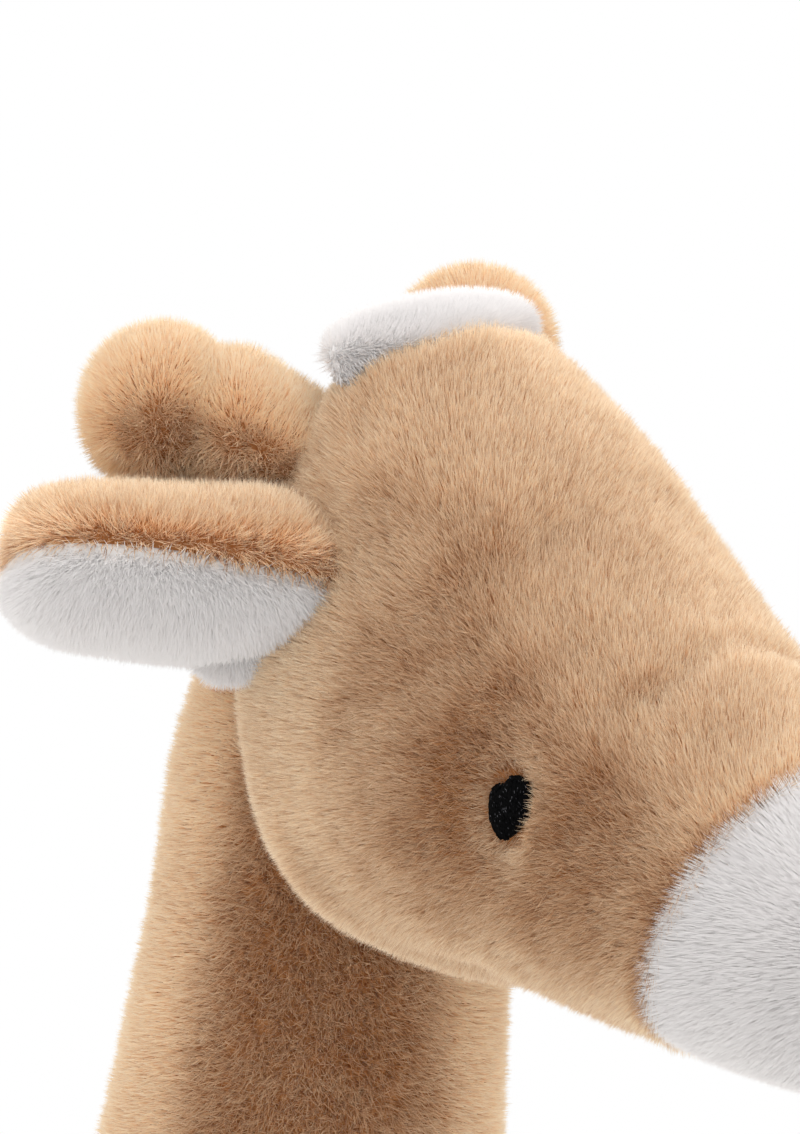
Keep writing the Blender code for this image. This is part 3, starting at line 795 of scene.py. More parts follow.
def stuffing(points):
    weights, pushes = np.zeros(len(points)), np.zeros(len(points))
    for spots in bothSides([place for place, _ in headPuffs["pushes"]]):
        for spot, (_, push) in zip(spots, headPuffs["pushes"]):
            weight = np.exp(-np.sum((points - spot) ** 2, axis=1) / headPuffs["reach"] ** 2)
            weights += weight
            pushes += weight * push * mm
    pushes /= np.maximum(weights, 1)
    for places, depth, reach in headCreases:
        for run in bothSides(places):
            pushes -= depth * mm * np.exp(-(creaseDistance(points, run) / (reach * mm)) ** 2)
    return pushes


def shapeHead():
    normals = headForm.normals()
    points = headForm.points
    seamLine = (points - inHead(headShape["length"] * headShape["seamShare"], 0)) @ headAhead
    dip = headShape["seamDip"] * np.exp(-(seamLine / headShape["seamReach"]) ** 2)
    for place, facing, _, _ in eyes.values():
        near = np.linalg.norm(points - place, axis=1)
        dip += headShape["eyeDimple"] * np.exp(-(near / headShape["eyeDimpleReach"]) ** 2)
    puff = stuffing(points) + ripple(points, 34 * mm, 5) * 0.5 * mm + ripple(points, 14 * mm, 6) * 0.2 * mm
    headForm.points = points + normals * (puff - dip - skinInset)[:, None]


shapeHead()

# neck, inside whose dome the head turns
neckShape = {"topRadius": 27.5 * mm, "baseRadius": 41.5 * mm, "lean": 9.5, "length": 186 * mm}
neckShares = ((0.00, 0.00), (0.22, 0.15), (0.44, 0.37), (0.64, 0.62), (0.78, 0.79), (0.90, 0.92), (1.00, 1.00))
lean = math.radians(neckShape["lean"])
neckUp = ahead * math.sin(lean) + upward * math.cos(lean)
neckBack = upward * math.sin(lean) - ahead * math.cos(lean)


def tapered(first, last, share):
    return first + (last - first) * share


neckFoot = pivot - neckUp * neckShape["length"]
neckRows = []
for along, taper in neckShares:
    radius = tapered(neckShape["baseRadius"], neckShape["topRadius"], taper)
    neckRows.append((neckFoot + neckUp * (neckShape["length"] * along), radius, radius, radius))
neckRows += domeRows(pivot, neckUp, neckShape["topRadius"], 4)
neckForm = Form(neckRows, left, 72, 2.6 * mm)
neckForm.grow((ripple(neckForm.points, 40 * mm, 8) * 0.7 * mm)[:, None] - skinInset)
neckTree = neckForm.tree()


# ossicones and ears: the forms first, because the head's pile leaves room for them

ossiconeShape = {
    "lengths": {"right": 42.8 * mm, "left": 46.4 * mm}, "baseRadius": 11.2 * mm, "knobRadius": 13.3 * mm,
    "place": (0.34, 0.057, 0.60), "direction": (0.66, -0.73, -0.155),
    "napSpot": (-0.58, -0.7, -0.4), "densities": {"right": 19e6, "left": 15e6},
    # painted light: the ossicones' pile is toned paler, and paler still underneath, lifting the shade near the head
    # and ears
    "shades": {"right": 0.6, "left": 0.6}, "underLift": 0.45,
    "notchDepth": 0.8 * mm, "notchReach": 2.4 * mm, "notchAt": 0.53,
}
stalkShares = ((0.00, 0.20, 6.0), (0.24, 0.60, 4.0), (0.40, 0.85, 1.6))
knobDegrees = (60, 90, 122, 152)
earShape = {
    "length": 49 * mm, "width": 45 * mm, "backs": {"right": 12.0 * mm, "left": 8.5 * mm}, "lining": 11.0 * mm,
    "raises": {"right": 2.0 * mm, "left": 0.0},
    "place": (0.68, 0.164, 0.407),
    "sides": {
        "right": ((0.76, -0.626, -0.171), (0.536, 0.48, 0.69)),
        "left": ((0.50, -0.80, -0.33), (0.70, 0.46, 0.30)),
    },
}
earShares = (
    (0.00, 0.30, 0.60), (0.16, 0.39, 0.85), (0.40, 0.48, 1.03), (0.62, 0.50, 1.00),
    (0.80, 0.44, 0.96), (0.93, 0.31, 0.76), (1.00, 0.00, 0.00),
)
earBackShares = (
    (0.00, 0.34, 1.10), (0.16, 0.42, 1.20), (0.40, 0.49, 1.10), (0.62, 0.50, 1.04),
    (0.80, 0.44, 0.98), (0.93, 0.31, 0.80), (1.00, 0.00, 0.00),
)
earBaseDegrees = (70, 40)
# the lining's pinched base hangs as a second lobe: places along, aside and away from the leaf
foldPath = (
    ((5.0 * mm, 2.0 * mm, 3.0 * mm), 0.0), ((6.5 * mm, 2.7 * mm, 1.0 * mm), 5.0 * mm),
    ((10.2 * mm, 5.2 * mm, -4.5 * mm), 7.0 * mm), ((12.2 * mm, 7.5 * mm, -8.0 * mm), 6.6 * mm),
    ((13.0 * mm, 8.6 * mm, -11.2 * mm), 4.4 * mm), ((13.3 * mm, 9.0 * mm, -12.9 * mm), 0.0),
)


def headPlace(out, shares):
    across, along, rise = shares
    place = inHead(headShape["length"] * along, headShape["height"] * rise)
    return place + out * (headShape["width"] / 2 * across)


def headDirection(out, shares):
    across, along, rise = shares
    return unit(out * across + headAhead * along + headUp * rise)


def ossiconeRows(base, direction, length, flexAxis):
    rows = domeRows(base, -direction, ossiconeShape["baseRadius"], 3)[::-1]
    for along, swell, fall in stalkShares:
        radius = tapered(ossiconeShape["baseRadius"], ossiconeShape["knobRadius"], swell)
        middle = base + direction * (length * along) - flexAxis * (fall / 2 * mm)
        rows.append((middle, radius - fall / 2 * mm, radius, radius))
    knob = base + direction * (length - ossiconeShape["knobRadius"])
    for degrees in knobDegrees:
        turn = math.radians(degrees)
        radius = ossiconeShape["knobRadius"] * math.sin(turn)
        rows.append((knob - direction * (ossiconeShape["knobRadius"] * math.cos(turn)), radius, radius, radius))
    rows.append((base + direction * length, 0, 0, 0))
    return rows


def ossiconeForm(base, direction, length):
    # a seam draws a notch into its upper side, behind the knob
    flexAxis = unit(upward - direction * np.dot(upward, direction))
    form = Form(ossiconeRows(base, direction, length, flexAxis), flexAxis, 56, 1.6 * mm)
    fromNotch = (form.points - base) @ direction - length * ossiconeShape["notchAt"]
    upper = smoothStep(form.normals() @ flexAxis, 0.0, 0.7)
    notch = ossiconeShape["notchDepth"] * np.exp(-(fromNotch / ossiconeShape["notchReach"]) ** 2) * upper
    return form.grow(-(notch + skinInset)[:, None])


def earRows(base, direction, shares, back, lining):
    rows = []
    _, baseWide, baseThick = shares[0]
    for degrees in earBaseDegrees:
        turn = math.radians(degrees)
        behind = base - direction * (max(back, lining) * baseThick * math.sin(turn))
        wide, thick = baseWide * math.cos(turn), baseThick * math.cos(turn)
        rows.append((behind, earShape["width"] * wide, back * thick, lining * thick))
    for along, wide, thick in shares:
        middle = base + direction * (earShape["length"] * along)
        rows.append((middle, earShape["width"] * wide, back * thick, lining * thick))
    return rows


ossicones, ears = {}, {}
for sideName, sense in (("right", -1), ("left", 1)):
    out = left * sense
    base = headPlace(out, ossiconeShape["place"])
    direction = headDirection(out, ossiconeShape["direction"])
    form = ossiconeForm(base, direction, ossiconeShape["lengths"][sideName])
    ossicones[sideName] = {"form": form, "direction": direction}
    base = headPlace(out, earShape["place"])
    earDirection, earEdge = earShape["sides"][sideName]
    direction = headDirection(out, earDirection)
    edge = headDirection(out, earEdge) * -sense
    across = unit(edge - direction * np.dot(edge, direction))
    back = np.cross(direction, across)
    base = base + back * earShape["raises"][sideName]
    thick = earShape["backs"][sideName]
    backForm = Form(earRows(base, direction, earBackShares, thick, 0), across, 64, 1.6 * mm, direction)
    liningForm = Form(earRows(base, direction, earShares, 0, earShape["lining"]), across, 64, 1.6 * mm, direction)
    foldRows = []
    for (along, aside, over), radius in foldPath:
        foldRows.append((base + direction * along + across * aside * sense + back * over, radius, radius, radius))
    foldForm = Form(foldRows, across, 40, 1.4 * mm)
    ears[sideName] = {"back": backForm, "lining": liningForm, "fold": foldForm, "direction": direction,
                      "away": back}


def keepClear(points, trees, depth, reach):
    # 1 outside these skins, falling to 0 where a point lies deeper inside one
    cover = np.ones(len(points))
    for tree in trees:
        cover *= 1 - smoothStep(depthInside(points, tree), depth, depth + reach)
    return cover


def headFlow(form, comb, spot):
    points = form.points
    flow = evenFlow(form, comb, 0.0, spot)
    trees = [neckTree]
    trees += [part["form"].tree() for part in ossicones.values()]
    trees += [part["back"].tree() for part in ears.values()]
    flow["cover"] = keepClear(points, trees, 3.0 * mm, 2.0 * mm)
    for place, facing, upright, across in eyes.values():
        offset = points - place
        oval = np.hypot(offset @ across / (eyeShape["width"] / 2), offset @ upright / (eyeShape["height"] / 2))
        near = np.linalg.norm(offset, axis=1)
        flow["cover"] *= np.where((near < 12 * mm), smoothStep(oval, 0.62, 0.85), 1)
        flow["pile"] *= np.where(near < 20 * mm, 0.72 + 0.28 * smoothStep(oval, 0.9, 1.5), 1)
        # painted light: a paler ring of pile round each eye, lifting the shade there
        halo = np.where(near < 20 * mm, np.exp(-((oval - 1.1) / 0.5) ** 2), 0)
        flow["shade"] += 0.3 * halo
        flow["loose"] *= 1 - 0.5 * halo
        away = unit(offset - np.outer(offset @ facing, facing))
        mix = (1 - smoothStep(oval, 0.9, 1.8))[:, None] * (near < 20 * mm)[:, None]
        flow["comb"] = flow["comb"] * (1 - mix) + away * mix * 0.8
    return flow


ringPlaces = [headForm.along[ring[0]] for ring in headForm.rings]
seamRow = np.interp(headShape["seamShare"], [row[0] for row in headShares], range(len(headShares)))
muzzleAt = min(ringPlaces, key=lambda place: abs(place - seamRow))
headTan, headWhite = headForm.cut(0, muzzleAt), headForm.cut(muzzleAt)
addSkin("headSkin", headTan, "tan", "head", ("head_cover", "head_filling"))
addSkin("muzzleSkin", headWhite, "white", "head", ("muzzle_cover",))


def closeEnds(form, flow):
    # no strands on the lips and caps that close a cut skin
    spare = np.zeros(len(form.points), bool)
    spare[sum(len(ring) for ring in form.rings):] = True
    flow["cover"][spare] = 0
    return flow


tanFlow = closeEnds(headTan, headFlow(headTan, headAhead * -0.25, nap["spot"]))
whiteFlow = closeEnds(headWhite, headFlow(headWhite, headAhead * -0.35 - headUp * 0.15, None))
seamMiddle = inHead(headShape["length"] * headShape["seamShare"], 0)
beforeSeam = np.maximum((seamMiddle - headTan.points) @ headAhead, 0)
pastSeam = np.maximum((headWhite.points - seamMiddle) @ headAhead, 0)
# painted light: the tan pile is toned paler just before the muzzle seam, lifting the shade along the seam
tanFlow["shade"] += 0.3 * np.exp(-beforeSeam / (4 * mm))
whiteFlow["comb"] -= np.outer(0.6 * np.exp(-pastSeam / (5 * mm)), headAhead)
whiteFlow["pile"] *= 1 + 0.35 * np.exp(-pastSeam / (3 * mm))
addPile("headPile", headTan, tanFlow, headPile, "tan", "head", 3)
addPile("muzzlePile", headWhite, whiteFlow, dict(whitePile, Density=20e6, Width=0.34 * mm), "white", "head", 1)
print("head made")


# neck

def neckFlow(form):
    points = form.points
    # painted light: the neck's pile is toned 0.2 paler, lifting the shade that falls under the head
    flow = evenFlow(form, neckUp * -0.25, 0.2)
    lower = smoothStep((pivot - points) @ neckUp, 70 * mm, 84 * mm)
    flow["stout"] = 1 + 0.75 * lower
    flow["cover"] = keepClear(points, [headTree], 5.0 * mm, 2.0 * mm)
    flow["cover"] *= keepClear(points, [trunkTree], 3.0 * mm, 2.0 * mm) * (1 - 0.67 * lower)
    return flow


# trunk

trunkShape = {"length": 210 * mm, "width": 104 * mm, "height": 112 * mm}
trunkMiddle = np.array((0.0, 0.05968, 0.206))
trunkShares = (
    (-0.500, 0.00, 0.00), (-0.475, 0.21, 0.21), (-0.410, 0.36, 0.37), (-0.290, 0.46, 0.465),
    (-0.120, 0.50, 0.50), (0.060, 0.50, 0.50), (0.200, 0.49, 0.495), (0.310, 0.46, 0.47),
    (0.410, 0.37, 0.38), (0.475, 0.22, 0.23), (0.500, 0.00, 0.00),
)
trunkRows = []
for along, wide, high in trunkShares:
    tall = trunkShape["height"] * high
    trunkRows.append((trunkMiddle + ahead * (trunkShape["length"] * along), trunkShape["width"] * wide, tall, tall))
trunkForm = Form(trunkRows, left, 84, 3.0 * mm)
trunkForm.grow((ripple(trunkForm.points, 55 * mm, 12) * 1.0 * mm)[:, None] - skinInset)
trunkTree = trunkForm.tree()

# legs with white hooves

legShape = {
    "hip": 158 * mm, "spread": 27 * mm, "front": 70 * mm, "rear": 62 * mm, "radius": 23 * mm,
    "ankle": 18.5 * mm, "hoof": 22 * mm, "hoofHeight": 34 * mm,
}
legShares = ((0.00, 0.00), (0.30, 0.25), (0.62, 0.70), (0.86, 1.00), (1.00, 1.00))
hoofShares = ((0.70, 1.00), (0.40, 1.00), (0.12, 0.92), (0.00, 0.78), (0.00, 0.00))


def legRows(hip):
    rows = domeRows(hip, upward, legShape["radius"], 4)[::-1]
    run = legShape["hip"] - legShape["hoofHeight"]
    for along, taper in legShares:
        radius = tapered(legShape["radius"], legShape["ankle"], taper)
        rows.append((hip - upward * (run * along), radius, radius, radius))
    for along, wide in hoofShares:
        radius = legShape["hoof"] * wide
        middle = hip - upward * (legShape["hip"] - legShape["hoofHeight"] * along)
        rows.append((middle, radius, radius, radius))
    return rows


legs = {}
for endName, reach in (("front", legShape["front"]), ("rear", -legShape["rear"])):
    for sideName, sense in (("right", -1), ("left", 1)):
        hip = np.array((0.0, trunkMiddle[1], legShape["hip"])) + ahead * reach
        hip = hip + left * (legShape["spread"] * sense)
        form = Form(legRows(hip), left, 56, 2.6 * mm)
        form.points[:, 2] = np.maximum(form.points[:, 2], floorGap)
        legs[endName + "_" + sideName] = {"form": form, "tree": form.tree()}

addSkin("neckSkin", neckForm, "tan", "trunk", ("neck_cover", "neck_filling"))
neckPile = dict(headPile, Density=10.5e6, Width=0.29 * mm, Seed=200)
addPile("neckPile", neckForm, neckFlow(neckForm), neckPile, "tan", "trunk", 2)

trunkFlow = evenFlow(trunkForm, ahead * -0.3 - upward * 0.3, 0.12, None)
trunkFlow["cover"] = keepClear(
    trunkForm.points, [neckTree] + [leg["tree"] for leg in legs.values()], 3.0 * mm, 2.0 * mm)
addSkin("trunkSkin", trunkForm, "tan", "trunk", ("trunk_cover", "trunk_filling"))
addPile("trunkPile", trunkForm, trunkFlow, bodyPile, "tan", "trunk", 2)

ankleRow = 4 + len(legShares) - 1
for legName, leg in legs.items():
    body = "leg_" + legName
    camel = "leg" + "".join(word.title() for word in legName.split("_"))
    upper, hoof = leg["form"].cut(0, ankleRow), leg["form"].cut(ankleRow)
    addSkin(camel + "Skin", upper, "tan", body, ("leg_cover_" + legName, "leg_filling_" + legName))
    addSkin(camel + "HoofSkin", hoof, "white", body, ("hoof_cover_" + legName,))
    for part, label, plush in ((upper, "Pile", "tan"), (hoof, "HoofPile", "white")):
        flow = closeEnds(part, evenFlow(part, upward * -0.4, 0.12, None))
        flow["cover"] *= keepClear(part.points, [trunkTree], 6.0 * mm, 3.0 * mm)
        flow["cover"] *= smoothStep(part.points[:, 2], 1.0 * mm, 3.0 * mm)
        flow["pile"] *= 0.55 + 0.45 * smoothStep(part.points[:, 2], 2 * mm, 14 * mm)
        addPile(camel + label, part, flow, bodyPile if plush == "tan" else hoofPile, plush, body, 1)
print("neck, trunk and legs made")


# ossicones and ears

for sideName, part in ossicones.items():
    body = "ossicone_" + sideName
    form = part["form"]
    # painted light: paler tone for the whole ossicone, and more on its undersides
    flow = evenFlow(form, part["direction"] * -0.1, ossiconeShape["shades"][sideName], ossiconeShape["napSpot"])
    flow["shade"] += ossiconeShape["underLift"] * smoothStep(-form.normals()[:, 2], 0.0, 0.8)
    flow["cover"] = keepClear(form.points, [headTree], 4.0 * mm, 2.0 * mm)
    camel = "ossicone" + sideName.title()
    addSkin(camel + "Skin", form, "tan", body,
            ("ossicone_cover_" + sideName, "ossicone_filling_" + sideName))
    pile = dict(headPile, Density=ossiconeShape["densities"][sideName], Seed=600)
    addPile(camel + "Pile", form, flow, pile, "tan", body)

for sideName, part in ears.items():
    body = "ear_" + sideName
    leaves = (("back", "tan", headPile, 1, -0.3), ("lining", "white", whitePile, -1, -0.2),
              ("fold", "white", whitePile, 0, 0))
    for leaf, plush, pile, splay, tilt in leaves:
        form = part[leaf]
        flow = evenFlow(form, part["direction"] * 0.1 + part["away"] * tilt, 0.06)
        flow["loose"] += 0.5
        flow["cover"] = keepClear(form.points, [headTree], 4.0 * mm, 2.0 * mm)
        if splay:
            facing = form.normals() @ (part["away"] * splay)
            low, high = (-0.5, -0.1) if leaf == "back" else (-0.1, 0.15)
            flow["cover"] *= smoothStep(facing, low, high)
            seam = np.exp(-(np.maximum(facing, 0) / 0.4) ** 2)[:, None]
            flow["comb"] = flow["comb"] * (1 - 0.7 * seam) - part["away"] * 0.9 * seam
            # painted light: the pile is toned paler towards the edge where the two leaves meet, lifting the shade in
            # that seam
            flow["shade"] += 0.12 * (1 - smoothStep(facing, 0.0, 0.55))
        camel = "ear" + leaf.title() + sideName.title()
        nodes = ("ear_" + leaf + "_" + sideName,) if splay else ()
        addSkin(camel + "Skin", form, plush, body, nodes)
        seed = 700 + 20 * len(leaf)
        addPile(camel + "Pile", form, flow, dict(pile, Density=19e6, Seed=seed), plush, body)
print("ossicones and ears made")


# sewing threads: short bulging stitches laid on a surface by geometry nodes
threadInputs = (
    ("Density", "NodeSocketFloat"),
    ("Seed", "NodeSocketInt"),
    ("Length", "NodeSocketFloat"),
    ("Radius", "NodeSocketFloat"),
    ("Stray", "NodeSocketFloat"),
    ("Raise", "NodeSocketFloat"),
    ("Along", "NodeSocketVector"),
    ("Finish", "NodeSocketMaterial"),
)


def threadTree(name, scattered):
    tree, sockets, graph, given = nodeGroup(name, threadInputs)
    if scattered:
        spots = graph.add("GeometryNodeDistributePointsOnFaces", {"distribute_method": "RANDOM"}, {
            "Mesh": given, "Density": given.other("Density"), "Seed": given.other("Seed")})
        normal = spots.other("Normal")
    else:
        held = graph.add("GeometryNodeCaptureAttribute", {}, {0: given})
        held.socket.node.capture_items.new("VECTOR", "facing")
        normal = graph.add("GeometryNodeInputNormal", {}, {})
        tree.links.new(normal.socket, held.socket.node.inputs[1])
        spots = graph.add("GeometryNodeMeshToPoints", {"mode": "VERTICES"}, {0: held})
        normal = held.other("facing")
    stray = graph.add("FunctionNodeRandomValue", {"data_type": "FLOAT_VECTOR"}, {
        0: (-1, -1, -1), 1: (1, 1, 1), "Seed": given.other("Seed") + 3}, 0)
    way = given.other("Along").vector("ADD", stray.vector("SCALE", given.other("Stray"), 3))
    turn = graph.add("FunctionNodeAxesToRotation", {"primary_axis": "Y", "secondary_axis": "X"}, {
        0: normal, 1: way})
    reach = graph.add("FunctionNodeRandomValue", {"data_type": "FLOAT"}, {
        2: 0.7, 3: 1.2, "Seed": given.other("Seed") + 4}, 1)
    half = given.other("Length") / 2
    start = graph.add("ShaderNodeCombineXYZ", {}, {0: 0 - half, 1: 0 - given.other("Radius")})
    over = graph.add("ShaderNodeCombineXYZ", {}, {1: given.other("Radius") * 2.4})
    stop = graph.add("ShaderNodeCombineXYZ", {}, {0: half, 1: 0 - given.other("Radius")})
    path = graph.add("GeometryNodeCurveQuadraticBezier", {}, {
        "Resolution": 3, "Start": start, "Middle": over, "End": stop})
    ring = graph.add("GeometryNodeCurvePrimitiveCircle", {"mode": "RADIUS"}, {
        "Resolution": 5, "Radius": given.other("Radius")})
    thread = graph.add("GeometryNodeCurveToMesh", {}, {"Curve": path, "Profile Curve": ring, "Fill Caps": True})
    raised = graph.add("GeometryNodeSetPosition", {}, {
        "Geometry": spots, "Offset": normal.vector("SCALE", given.other("Raise"), 3)})
    laid = graph.add("GeometryNodeInstanceOnPoints", {}, {
        "Points": raised, "Instance": thread, "Rotation": turn, "Scale": graph.add("ShaderNodeCombineXYZ", {}, {
            0: reach, 1: 1.0, 2: 1.0})})
    real = graph.add("GeometryNodeRealizeInstances", {}, {"Geometry": laid})
    done = graph.add("GeometryNodeSetMaterial", {}, {"Geometry": real, "Material": given.other("Finish")})
    graph.add("NodeGroupOutput", {}, {0: done})
    return tree, sockets


scatteredThreads, rowThreads = threadTree("scatteredThreads", True), threadTree("rowThreads", False)


def sewThreads(name, points, faces, kind, values):
    mesh = bpy.data.meshes.new(name)
    mesh.from_pydata(np.asarray(points).tolist(), [], faces)
    return growNodes(name, mesh, kind, values)


def threadMaterial(name, dark, pale, roughness, specular):
    # spun thread: fine plies, with paler patches of fluff, painted highlights where the fluff catches the light
    made, graph, shader = newMaterial(name)
    place = graph.add("ShaderNodeTexCoord", {}, {}, 3)
    plies = graph.add("ShaderNodeTexNoise", {}, {"Vector": place, "Scale": 5200.0, "Detail": 2.0})
    fluff = graph.add("ShaderNodeTexNoise", {}, {"Vector": place, "Scale": 1500.0, "Detail": 3.0})
    bump = graph.add("ShaderNodeBump", {}, {"Strength": 0.7, "Distance": 0.0001, "Height": plies})
    feed(graph, shader, {
        "Base Color": graph.mixed((fluff * 3.2 - 1.5).clamped(), dark, pale),
        "Roughness": roughness + plies * 0.2,
        "Specular IOR Level": specular,
        "Normal": bump,
    })
    return made


# embroidered eyes: a padded patch of irregular outline, filled with slanting stitches
eyeOutline = {
    "sidewaysShares": (0.10, 0.36, 0.70, 0.86, 0.88, 0.78, 0.52, 0.22, -0.06, -0.34, -0.60, -0.80, -0.88, -0.86,
                       -0.72, -0.46, -0.26, -0.08),
    "uprightShares": (0.90, 0.90, 0.74, 0.46, 0.14, -0.16, -0.44, -0.66, -0.84, -0.82, -0.62, -0.32, 0.00, 0.30, 0.54,
                      0.60, 0.64, 0.80),
    "rings": 5, "lift": 0.3 * mm,
    "stitch": {"Density": 10e6, "Seed": 31, "Length": 1.6 * mm, "Radius": 0.16 * mm, "Stray": 0.5,
               "Raise": 0.05 * mm},
    "fluff": {"Density": 1.5e6, "Seed": 57, "Length": 0.6 * mm, "Radius": 0.06 * mm, "Stray": 0.7,
              "Raise": 0.2 * mm},
    "slant": (-0.42, 0.9),
}
blackThread = threadMaterial("blackThread", colour(2, 2, 3), colour(11, 11, 12), 0.75, 0.06)
# the grey threads on the eyes are loose fluff, and a painted highlight that stands for glints on the black stitches
greyThread = threadMaterial("greyThread", colour(30, 30, 33), colour(140, 140, 146), 0.6, 0.1)


def eyePatch(place, facing, upright, across, sense):
    # rings of the outline, each further in and higher, to a middle point; the foot sits in the skin
    rings = [(1.0, -1.6)] + [(1 - (step / eyeOutline["rings"]) ** 1.5, step / eyeOutline["rings"])
                             for step in range(eyeOutline["rings"])]
    points, faces = [], []
    count = len(eyeOutline["sidewaysShares"])
    for size, rise in rings:
        lift = eyeOutline["lift"] * 3 * math.sin(rise * math.pi / 2) if rise > 0 else rise * mm
        for aside, high in zip(eyeOutline["sidewaysShares"], eyeOutline["uprightShares"]):
            points.append(place + across * (aside * size * eyeShape["width"] / 2) * -sense
                          + upright * (high * size * eyeShape["height"] / 2) + facing * (lift + eyeOutline["lift"]))
    points.append(place + facing * (eyeOutline["lift"] * 4))
    for ring in range(len(rings) - 1):
        for step in range(count):
            a, b = ring * count + step, ring * count + (step + 1) % count
            faces.append((a, b, b + count, a + count))
    last = (len(rings) - 1) * count
    faces += [(last + step, last + (step + 1) % count, len(points) - 1) for step in range(count)]
    faces.append(tuple(reversed(range(count))))
    patch = np.array(points)
    first, second, third = patch[list(faces[0][:3])]
    if np.cross(second - first, third - first) @ (first - place) < 0:
        faces = [face[::-1] for face in faces]
    return patch, faces


for sideName, (place, facing, upright, across) in eyes.items():
    sense = -1 if sideName == "right" else 1
    points, faces = eyePatch(place, facing, upright, across, sense)
    patch = meshObject("eyePatch" + sideName.title(), points, faces, blackThread)
    aside, high = eyeOutline["slant"]
    slant = unit(across * aside * -sense + upright * high)
    top = [face for face in faces if len(face) < 5 and np.mean((points[list(face)] - place) @ facing) > -mm]
    pieces = [patch]
    for label, finish in (("stitch", blackThread), ("fluff", greyThread)):
        values = dict(eyeOutline[label], Along=tuple(slant), Finish=finish)
        pieces.append(sewThreads("eye" + label.title() + sideName.title(), points, top, scatteredThreads, values))
    for piece in pieces:
        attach(piece, "head")
    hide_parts("eye_" + sideName)
print("eyes embroidered")


# care label: a blank strip of satin tape, sewn into the side seam and hanging from it
labelShape = {"width": 18 * mm, "thickness": 0.5 * mm, "columns": 14, "step": 1.2 * mm, "curl": 0.7 * mm,
              "hemAt": 2.4 * mm, "hemPitch": 1.5 * mm}
labelPath = ((47.5, 206), (52.0, 205.5), (54.5, 203.5), (55.3, 198), (55.6, 185), (55.0, 172))


def labelLine():
    # the path's points spread evenly over a smooth curve through them
    corners = np.array(labelPath) * mm
    fine = []
    for index in range(len(corners) - 1):
        before, start = corners[max(index - 1, 0)], corners[index]
        stop, after = corners[index + 1], corners[min(index + 2, len(corners) - 1)]
        for t in np.arange(12) / 12:
            fine.append(start + 0.5 * t * (stop - before + t * (2 * before - 5 * start + 4 * stop - after
                        + t * (3 * (start - stop) + after - before))))
    fine = np.array(fine + [corners[-1]])
    runs = np.concatenate(((0,), np.cumsum(np.linalg.norm(np.diff(fine, axis=0), axis=1))))
    places = np.linspace(0, runs[-1], round(runs[-1] / labelShape["step"]) + 1)
    return np.stack([np.interp(places, runs, fine[:, axis]) for axis in (0, 1)], axis=1), places


labelSpots, labelRuns = labelLine()
labelLength = labelRuns[-1]


def labelSpot(run):
    return np.array([np.interp(run, labelRuns, labelSpots[:, axis]) for axis in (0, 1)])


def labelPoint(share, run):
    # share runs across the tape, run along it; returns the place and the outward direction
    spot = labelSpot(run)
    way = unit(labelSpot(run + mm / 2) - labelSpot(run - mm / 2))
    outward = np.array((-way[1], 0.0, way[0]))
    free = smoothStep(run, 8 * mm, labelLength)
    curl = labelShape["curl"] * free * (math.sin(share * 5 + 0.6) * 0.6 + (2 * share - 1) ** 2)
    place = np.array((spot[0], trunkMiddle[1] + labelShape["width"] * (share - 0.5), spot[1]))
    return place + outward * curl, outward


labelFaces, outer, inner = [], [], []
columns = labelShape["columns"]
for run in labelRuns:
    for column in range(columns + 1):
        place, outward = labelPoint(column / columns, run)
        outer.append(place + outward * (labelShape["thickness"] / 2))
        inner.append(place - outward * (labelShape["thickness"] / 2))
rowsDown, wide = len(labelRuns), columns + 1
back = rowsDown * wide
for row in range(rowsDown - 1):
    for column in range(columns):
        a = row * wide + column
        labelFaces.append((a, a + wide, a + wide + 1, a + 1))
        labelFaces.append((back + a, back + a + 1, back + a + wide + 1, back + a + wide))
rim = [column for column in range(wide)] + [row * wide + columns for row in range(1, rowsDown)]
rim += [(rowsDown - 1) * wide + column for column in range(columns - 1, -1, -1)]
rim += [row * wide for row in range(rowsDown - 2, 0, -1)]
for a, b in zip(rim, rim[1:] + rim[:1]):
    labelFaces.append((a, b, back + b, back + a))


def satinMaterial():
    # narrow satin tape: fine ribs across, a soft gloss, and a faint shadow of the weave
    made, graph, shader = newMaterial("satinTape")
    place = graph.add("ShaderNodeTexCoord", {}, {}, 3)
    axes = graph.add("ShaderNodeSeparateXYZ", {}, {0: place})
    ribs = graph.add("ShaderNodeMath", {"operation": "SINE"}, {0: axes.other("Z") * 16000.0})
    warp = graph.add("ShaderNodeMath", {"operation": "SINE"}, {0: axes.other("Y") * 26000.0})
    cloud = graph.add("ShaderNodeTexNoise", {}, {"Vector": place, "Scale": 260.0, "Detail": 3.0})
    weave = ribs * 0.35 + warp * 0.2 + cloud * 0.6
    bump = graph.add("ShaderNodeBump", {}, {"Strength": 0.5, "Distance": 0.0001, "Height": weave})
    feed(graph, shader, {
        "Base Color": graph.mixed((weave * 0.6 + 0.2).clamped(), colour(208, 206, 201), colour(230, 228, 223)),
        "Roughness": 0.3 + cloud * 0.15,
        "Specular IOR Level": 0.5,
        "Anisotropic": 0.4,
        "Normal": bump,
    })
    return made


